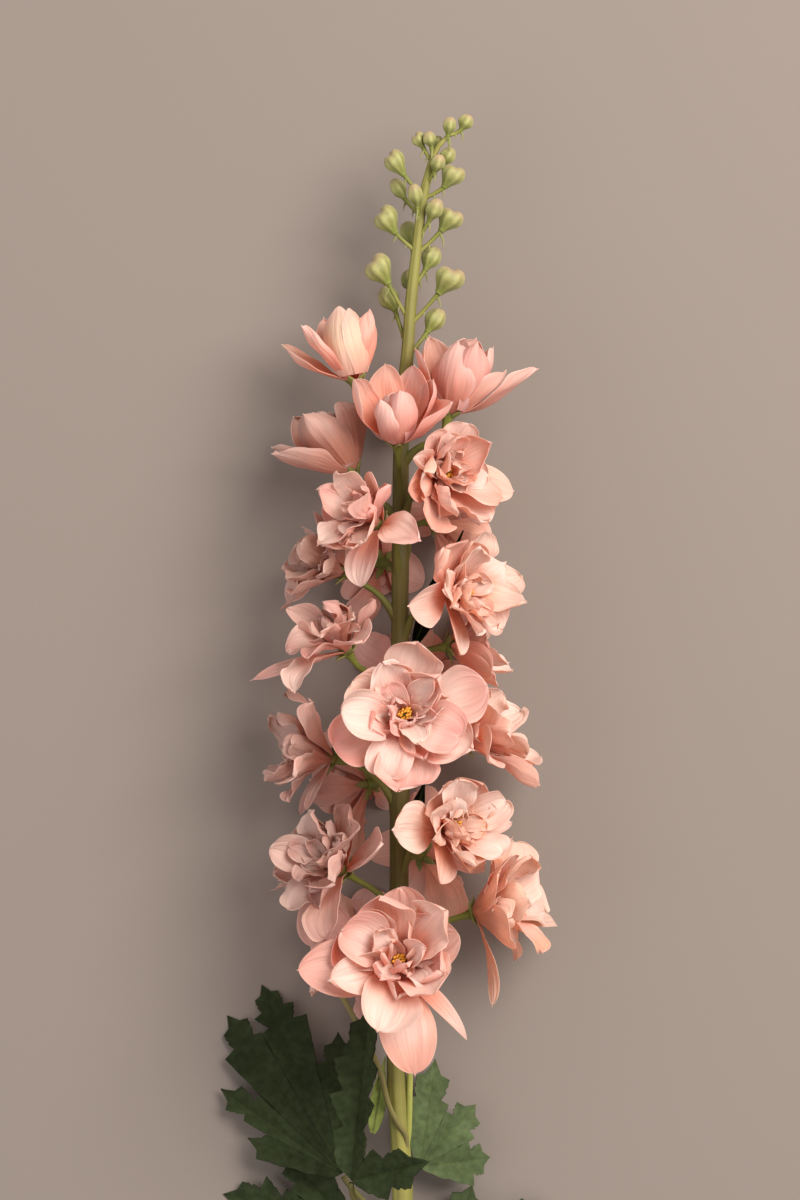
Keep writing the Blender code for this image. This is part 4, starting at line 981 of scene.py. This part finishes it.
def stamens_object(name, here, material):
    """Golden anthers on short threads round a green middle."""
    build = Build()
    draw = random.Random(name + " anthers")
    threads, foot = 17, HUB_TOP + GAP + 0.1
    for index in range(threads):
        turn = index * math.radians(137.5)
        out = 0.3 + 1.8 * math.sqrt((index + 0.5) / threads)
        tall = 3.6 + 1.6 * draw.random() - 0.5 * out
        root, bend, tip = (here.world(r, 0, h, turn) for r, h in (
            (0.3 * out, foot - 0.6), (0.7 * out, foot + 0.5 * tall), (out, foot + tall)))
        build.tube([root, bend, tip], (0.16, 0.14, 0.13), 5, np.stack([CARPEL] * 3))
        head = [here.world(out + d * 0.12, 0, foot + tall + d, turn) for d in (-0.15, 0.2, 0.55, 0.85, 1.0)]
        shade = ANTHER * draw.uniform(0.8, 1.1)
        build.tube(head, (0.14, 0.48, 0.58, 0.42, 0.10), 7, np.stack([shade] * 5), ridges=2, ridge_depth=0.22)
    carpels = 3
    for index in range(carpels):
        turn = index * math.tau / carpels
        line = [here.world(r, 0, h, turn) for r, h in (
            (0.35, foot - 0.8), (0.55, foot + 0.8), (0.5, foot + 2.4), (0.35, foot + 3.6))]
        build.tube(line, (0.45, 0.55, 0.4, 0.12), 8, np.stack([CARPEL, CARPEL, CARPEL * 1.2, BUD_PALE]))
    return build.make(name + "_fine", material, [name])


def curve_points(start, start_pull, end_pull, end, count):
    """Points on a curve that leaves start towards start_pull and reaches end from end_pull."""
    points = []
    for k in range(count):
        t = k / (count - 1)
        points.append(start * (1 - t)**3 + start_pull * (3 * t * (1 - t)**2)
                      + end_pull * (3 * t * t * (1 - t)) + end * t**3)
    return points


def add_pedicel(build, here):
    """The stalk to a bloom, the green cup under it and the cup's pointed lobes."""
    row = here.row
    root_drop, leave_radius, cup_depth, pull, count = 19.0, 5.2, 5.5, 6.0, 12
    root = stem_point(row.height - root_drop)
    side = stem_point(row.height - 7) + here.outward * leave_radius
    cup_top = here.hub - here.axis * GAP
    foot = cup_top - here.axis * cup_depth
    points = curve_points(root, side, foot - here.axis * pull, foot, count)
    steps = np.linspace(0, 1, count)
    radii = list(1.6 - 0.6 * smoothstep(0, 0.6, steps))
    cup = ((0.25, 1.15), (0.55, 1.5), (0.85, 2.0), (1.0, 2.25))
    points += [foot + here.axis * (cup_depth * share) for share, _ in cup]
    radii += [radius for _, radius in cup]
    green = blend(STEM_OLIVE_IN_PAINTED_SHADE, BUD_GREEN, np.linspace(0.2, 1.0, len(points)))
    build.tube(points, radii, 14, green, ridges=5, ridge_depth=0.05)
    lobes, long, wide = 5, 5.0, 2.4
    lean = math.radians(38 if row.heart else 60)
    u, v = np.meshgrid(np.linspace(-1, 1, 5), np.linspace(0, 1, 8))
    for index in range(lobes):
        half = wide / 2 * (0.7 + 0.5 * np.sin(math.pi * v)) * (1 - v ** 2.5)
        radial = 1.6 + long * v * math.sin(lean)
        axial = -1.7 + long * v * math.cos(lean) - 0.8 * v * v + 0.4 * u * u
        grid = here.world(radial, half * u, axial, index * math.tau / lobes + 0.4)
        tint = blend(BUD_GREEN, BUD_PALE, v * 0.8)
        build.sheet(here.keep_inside(grid, 0.4), 0.4, tint, tint, np.stack([u, v], axis=-1))


def add_side_stalks(build):
    """The thin stalk beside the stem above the leaves, and the olive one that crosses it."""
    for line, radius, tint in SIDE_STALKS:
        points = [place(x, height, stem_point(height).z + z) for x, height, z in line]
        fine = []
        for index in range(len(points) - 1):
            before, start, end, after = (points[min(max(index + k, 0), len(points) - 1)]
                                         for k in (-1, 0, 1, 2))
            fine += curve_points(start, start + (end - before) / 6, end - (after - start) / 6, end, 6)[:-1]
        fine.append(points[-1])
        build.tube(fine, np.full(len(fine), radius), 12, np.stack([tint] * len(fine)), ridges=3,
                   ridge_depth=0.06)


def stem_object(frames, material):
    build = Build()
    add_side_stalks(build)
    step = 3.0
    heights = np.arange(0, STEM_LINE[-1][0] + 0.1, step)
    line = [stem_point(height) for height in heights]
    radii = [smooth_read(STEM_LINE, height)[2] for height in heights]
    # From about 120 mm up the stem turns to the darker olive, partly its own colour and partly painted shade of
    # the blooms; it turns yellower again near the top
    low = blend(STEM_YELLOW, STEM_OLIVE_IN_PAINTED_SHADE, smoothstep(120, 230, heights))
    tints = blend(low, STEM_YELLOW * 0.9, smoothstep(370, 440, heights))
    draw = random.Random("stem")
    swell = [1 + 0.03 * math.sin(height * 0.21) + draw.uniform(-0.01, 0.01) for height in heights]
    build.tube(line, [r * s for r, s in zip(radii, swell)], 30, tints, ridges=7, ridge_depth=0.055)
    for here in frames.values():
        add_pedicel(build, here)
    for bud in BUDS:
        add_bud_stalk(build, bud)
    for leaf in LEAVES.values():
        add_leaf_stalk(build, leaf)
    return build.make("stem_fine", material, ["stem"])


def bud_axis(bud):
    middle = bud_middle(bud)
    outward = middle - stem_point(bud.height - 0.6 * bud.length)
    axis = (outward.normalized() + Vector((0, 0.75, 0))).normalized()
    return middle - axis * (bud.length / 2), axis


def add_bud_stalk(build, bud):
    root, (foot, axis) = stem_point(bud.root), bud_axis(bud)
    bend = root.lerp(foot, 0.55) + Vector((0, -0.6, 0))
    points = curve_points(root, root.lerp(bend, 0.8), bend.lerp(foot, 0.5), foot + axis * 0.4, 9)
    radii = 0.85 - 0.2 * np.sin(np.linspace(0, math.pi, 9))
    build.tube(points, radii, 10, blend(STEM_YELLOW, BUD_GREEN, np.linspace(0, 1, 9)))


def add_bud(build, bud, draw):
    """A ridged bud, narrow and green at its foot, broad and pinkish at its top. The larger ones
    part into two round lobes."""
    foot, axis = bud_axis(bud)
    side = axis.cross(Vector((0, 0, 1))).normalized()
    other = axis.cross(side)
    rows, sides = 20, 32
    v = (np.sin(np.linspace(-math.pi / 2, math.pi / 2, rows)) / 2 + 0.5)[:, None]
    turns = np.linspace(0, math.tau, sides, endpoint=False)[None, :]
    fullest = 0.60 if bud.cleft else 0.48
    belly = 0.30 + 0.70 * smoothstep(0.0, fullest, v)
    closing = np.sqrt(np.maximum(1 - np.clip((v - fullest) / (1 - fullest), 0, 1) ** 2.2, 0.0))
    radius = bud.width / 2 * belly * np.maximum(closing, 0.03)
    ridges = 7 if bud.width > 6 else 5
    radius = radius * (1 + 0.07 * np.cos(ridges * turns + 0.7) * np.sin(math.pi * v))
    split = 0.7 if bud.cleft else 0.1
    toward = np.cos(turns) ** 2
    squash = 1 + split * smoothstep(0.4, 1.0, v) * (0.02 * toward - 0.16 * (1 - toward))
    tilt = draw.uniform(0.7, 1.3)
    dip = np.exp(-(radius * np.abs(np.cos(turns)) / (0.22 * bud.width)) ** 2)
    uneven = 0.09 * tilt * split * np.cos(turns)
    height = bud.length * (v * (1 + uneven) - 0.16 * split * dip * smoothstep(0.72, 1.0, v))
    ring = (np.cos(turns)[..., None] * np.array(side) + np.sin(turns)[..., None] * np.array(other))
    points = np.array(foot) + ring * (radius * squash)[..., None] + np.array(axis) * height[..., None]
    faces = []
    for r in range(rows - 1):
        for k in range(sides):
            after = (k + 1) % sides
            faces.append((r * sides + k, r * sides + after, (r + 1) * sides + after, (r + 1) * sides + k))
    faces.append(tuple(reversed(range(sides))))
    faces.append(tuple((rows - 1) * sides + k for k in range(sides)))
    flat = np.ones_like(turns)
    painted_ridge_highlight = (0.5 + 0.5 * np.cos(ridges * turns + 0.7)) ** 2
    tints = blend(BUD_GREEN, BUD_PALE, smoothstep(0.10, 0.75, v) * flat)
    tints = blend(tints, BUD_TIP, smoothstep(0.60, 0.97, v) * draw.uniform(0.35, 0.8) * flat)
    # A painted highlight: paler lines along the ridges, strongest around the bud's middle
    tints = blend(tints, BUD_PALE * 1.5, 0.6 * painted_ridge_highlight * flat * np.sin(math.pi * v))
    uv = np.stack(np.broadcast_arrays(turns / math.tau, v), axis=-1)
    build.add(points, faces, tints, uv)


def add_whisker(build, bud, draw):
    """The thin pointed bracts that hang off each bud's stalk."""
    root, (foot, axis) = stem_point(bud.root), bud_axis(bud)
    for share, first_long in ((0.92, 5.0), (0.45, 3.2)):
        start = root.lerp(foot, share)
        outward = Vector((foot.x - root.x, 0, foot.z - root.z)).normalized()
        long = first_long * draw.uniform(0.7, 1.2)
        down, out = draw.uniform(0.7, 1.0), draw.uniform(0.0, 0.35)
        points = []
        for t in np.linspace(0, 1, 7):
            points.append(start + outward * (long * (out * t + 0.05 * math.sin(3 * t)))
                          + Vector((0.15 * math.sin(5 * t), -long * down * t ** 1.3, 0.2 * t)))
        build.tube(points, (0.42, 0.44, 0.40, 0.34, 0.26, 0.17, 0.05), 7,
                   blend(BUD_GREEN, BUD_PALE, np.linspace(0.2, 1, 7)))


def buds_object(material):
    build = Build()
    draw = random.Random("buds")
    for bud in BUDS:
        add_bud(build, bud, draw)
        add_whisker(build, bud, draw)
    return build.make("buds_fine", material, ())


def leaf_frame(leaf):
    forward = Vector(leaf.forward).normalized()
    up = Vector(leaf.up)
    up = (up - forward * up.dot(forward)).normalized()
    matrix = Matrix((forward.cross(up), forward, up)).transposed().to_4x4()
    matrix.translation = place(*leaf.base)
    return matrix


def add_leaf_stalk(build, leaf):
    root = stem_point(leaf.root)
    forward = leaf_frame(leaf).to_3x3() @ Vector((0, 1, 0))
    foot = place(*leaf.base) - forward * (GAP + 0.6)
    count = 18
    points = curve_points(root, root + Vector((0, 12, 0)), foot - forward * 10, foot, count)
    radii = 1.5 - 0.55 * smoothstep(0, 0.7, np.linspace(0, 1, count))
    tints = blend(STEM_YELLOW, STEM_OLIVE_IN_PAINTED_SHADE * 0.8, np.linspace(0, 1, count))
    build.tube(points, radii, 12, tints, ridges=3, ridge_depth=0.07)


def leaf_outline(leaf):
    """Rib points, margin points and tip of each half lobe, in the leaf's own plane."""
    halves = []
    base_share, slit, tooth_step = 0.07, 0.8, 0.06
    for index, lobe in enumerate(leaf.lobes):
        turn = math.radians(lobe.turn)
        along = Vector((math.sin(turn), math.cos(turn)))
        starts, limits = {}, {}
        for side in (-1, 1):
            aside = Vector((math.cos(turn), -math.sin(turn))) * side
            if 0 <= index + side < len(leaf.lobes):
                other = leaf.lobes[index + side]
                half_gap = abs(math.radians(lobe.turn - other.turn)) / 2
                cut = leaf.lobes[min(index, index + side)].cut * min(lobe.length, other.length)
                starts[side] = along * (cut * math.cos(half_gap)) + aside * (cut * math.sin(half_gap))
                limits[side] = math.tan(half_gap)
            else:
                starts[side] = (along + aside) * (base_share * lobe.length)
                limits[side] = 1.0
        first = max(start.dot(along) for start in starts.values()) / lobe.length
        shares = []
        for tooth in range(lobe.teeth):
            for part, width in ((0.66, 1.12), (0.80, 0.60)):
                shares.append((first + (1 - first) * (tooth + part) / (lobe.teeth + 0.4), width))
        rib = [Vector((0, 0))] + [along * (lobe.length * (share - tooth_step)) for share, _ in shares]
        for side, start in starts.items():
            aside = Vector((math.cos(turn), -math.sin(turn))) * side
            margin = [start]
            for share, width in shares:
                half = min(lobe.half * leaf_width(share), lobe.length * share * limits[side] - slit)
                margin.append(along * (lobe.length * share) + aside * (half * width))
            halves.append((rib, margin, along * lobe.length, side))
    return halves


def leaf_width(share):
    """Width of a lobe, widest about its middle, at a share of its length."""
    return math.sin(math.pi * min(max(share, 0.0), 1.0) ** 1.15) ** 0.75


def leaf_object(name, leaf, material):
    """A lobed blade with pressed-in ribs, raised side veins and small teeth on its margin."""
    matrix = leaf_frame(leaf)
    turns = [math.radians(lobe.turn) for lobe in leaf.lobes]
    build = Build()
    draw = random.Random(name)
    columns, parts = 9, 6
    for rib, margin, tip, side in leaf_outline(leaf):
        rib_line, margin_line = rib + [tip], margin + [tip]
        rows = []
        for index in range(len(rib_line) - 1):
            last = index == len(rib_line) - 2
            for step in range(parts + (1 if last else 0)):
                share = step / parts
                middle = rib_line[index].lerp(rib_line[index + 1], share)
                outer = margin_line[index].lerp(margin_line[index + 1], share)
                reach = (outer - middle).length
                saw = (0.0, 0.5, 1.0, 0.0, 0.6, 0.0)[step % parts] if index % 2 == 0 and not last else 0.0
                outer = outer + (outer - middle).normalized() * saw * min(reach * 0.2, 0.9)
                phase = index + share
                rows.append([(middle.lerp(outer, c / (columns - 1)), c / (columns - 1), phase)
                             for c in range(columns)])
        grid = np.zeros((len(rows), columns, 3))
        vein = np.zeros((len(rows), columns))
        for r, row in enumerate(rows):
            for c, (spot, out, phase) in enumerate(row):
                nearest = min(abs(spot.x * math.cos(t) - spot.y * math.sin(t)) for t in turns)
                side_vein = math.exp(-((phase - round((phase - 1) / 2) * 2 - 1 + 0.35 * (1 - out)) / 0.16) ** 2)
                side_vein *= (1 - out) ** 0.4 if out < 1 else 0
                rib_vein = math.exp(-(out / 0.05) ** 2)
                vein[r, c] = max(side_vein * 0.7, rib_vein)
                height = leaf.fold * nearest - leaf.curl * spot.length_squared
                height += 0.28 * side_vein * math.sin(math.pi * min(out + 0.1, 1))
                height += 0.35 * math.sin(spot.x * 0.31 + 1.3 * side) * math.sin(spot.y * 0.23) * out
                point = matrix @ Vector((spot.x, spot.y, height))
                grid[r, c] = (point.x, point.y, max(point.z, LEAF_THICKNESS / 2 + 0.02))
        # Painted light and shade of this leaf, with a little random tone
        shade = LEAF_PAINTED_LIGHT_AND_SHADE[name] * draw.uniform(0.85, 1.15)
        # A painted sheen: the blade turns lighter towards its base
        painted_sheen = np.exp(-(np.linalg.norm(grid - grid[0, 0], axis=2) / 22.0) ** 2)
        front = blend(LEAF_DARK_IN_PAINTED_SHADE * shade, LEAF_VEIN_AND_SHEEN * shade, np.clip(vein * 0.75 + 0.5 * painted_sheen, 0, 1))
        back = blend(LEAF_BACK * shade, LEAF_VEIN_AND_SHEEN * 1.3 * shade, vein * 0.8)
        u, v = np.meshgrid(np.linspace(0, 1, columns), np.linspace(0, 1, len(rows)))
        if side > 0:
            grid, front, back = grid[:, ::-1], front[:, ::-1], back[:, ::-1]
        build.sheet(grid, LEAF_THICKNESS, front, back, np.stack([u, v], axis=-1))
    return build.make(name + "_fine", material, [name], crisp=True)


def bract_object(name, row, material, tint, stands_for=()):
    """A small pointed leaf with a pressed-in middle vein."""
    width = row[2]
    along = (bract_point(row, 1) - bract_point(row, 0)).normalized()
    aside = along.cross(Vector((0, 0, 1))).normalized()
    rows, columns = 19, 9
    u, v = np.meshgrid(np.linspace(-1, 1, columns), np.linspace(0, 1, rows))
    line = np.array([bract_point(row, part) for part in v[:, 0]])
    half = width / 2 * (0.3 + 0.7 * np.sin(math.pi * np.minimum(v / 0.9, 1) ** 0.8)) * (1 - v ** 5)
    grid = line[:, None, :] + (half * u)[..., None] * np.array(aside)
    grid[..., 2] += 0.8 * np.abs(u) ** 1.5 * np.sin(math.pi * v) + 0.5 * np.sin(4 * v + u)
    build = Build()
    front = blend(tint, LEAF_VEIN_AND_SHEEN * 1.6, np.exp(-(u / 0.1) ** 2) * 0.6)
    build.sheet(grid, LEAF_THICKNESS, front, front * 1.3, np.stack([u, v], axis=-1))
    return build.make(name + "_fine", material, stands_for, crisp=True)


def aim(item, target):
    item.rotation_euler = (Vector(target) - item.location).to_track_quat("-Z", "Y").to_euler()


def area_light(name, location, target, size, power, colour):
    light = bpy.data.lights.new(name, "AREA")
    light.shape = "DISK"
    light.size = size
    light.energy = power
    light.color = colour
    item = bpy.data.objects.new(name, light)
    item.location = location
    bpy.context.scene.collection.objects.link(item)
    aim(item, target)
    return item


def make_floor():
    """A wide pale floor."""
    half = 8.0
    mesh = bpy.data.meshes.new("floor")
    mesh.from_pydata([(-half, -half, 0), (half, -half, 0), (half, half, 0), (-half, half, 0)], [], [(0, 1, 2, 3)])
    floor = bpy.data.objects.new("floor", mesh)
    bpy.context.scene.collection.objects.link(floor)
    made = bpy.data.materials.new("floor")
    made.use_nodes = True
    shader = made.node_tree.nodes["Principled BSDF"]
    shader.inputs["Base Color"].default_value = (0.215, 0.180, 0.157, 1)
    shader.inputs["Roughness"].default_value = 0.9
    mesh.materials.append(made)
    return floor


def make_camera():
    """Straight above, as the photo looks straight at the upright spike."""
    pixel, photo_width, photo_height = 0.33 * MM, 800, 1200
    base_row, middle_row = 1580, photo_height / 2
    spike_level, distance = 0.036, 1.35
    camera = bpy.data.cameras.new("camera")
    camera.sensor_fit = "VERTICAL"
    camera.sensor_height = 36
    camera.sensor_width = camera.sensor_height * photo_width / photo_height
    camera.lens = camera.sensor_height * distance / (photo_height * pixel)
    camera.clip_start, camera.clip_end = 0.05, 20
    item = bpy.data.objects.new("camera", camera)
    middle = (base_row - middle_row) * pixel - HALF_LENGTH * MM
    item.location = (AXIS_X * MM, middle, spike_level + distance)
    bpy.context.scene.collection.objects.link(item)
    bpy.context.scene.camera = item
    return item


def light_scene():
    scene = bpy.context.scene
    world = bpy.data.worlds.new("studio")
    world.use_nodes = True
    world.node_tree.nodes["Background"].inputs["Color"].default_value = (1.0, 0.94, 0.89, 1)
    world.node_tree.nodes["Background"].inputs["Strength"].default_value = 0.54
    scene.world = world
    middle = (0, 0.08, 0.03)
    area_light("key", (0.8, 0.7, 1.2), middle, 1.2, 41, (1.0, 0.95, 0.90))
    area_light("fill", (-1.0, -0.3, 1.0), middle, 1.4, 6, (0.98, 0.95, 1.0))
    scene.view_settings.view_transform = "Standard"
    scene.view_settings.exposure = 0.0


def main():
    frames = bloom_frames()
    petal, stamen, leaf = petal_material(), stamen_material(), leaf_material()
    for name, here in frames.items():
        bloom_object(name, here, petal)
        if not here.row.heart:
            stamens_object(name.replace("bloom", "stamens"), here, stamen)
    stem_object(frames, stem_material())
    buds_object(bud_material())
    for name, row in LEAVES.items():
        leaf_object(name, row, leaf)
    for name, (row, tint) in FINE_BRACTS.items():
        bract_object(name, row, leaf, tint, [name] if name in BRACTS else ())
    make_floor()
    make_camera()
    light_scene()


main()
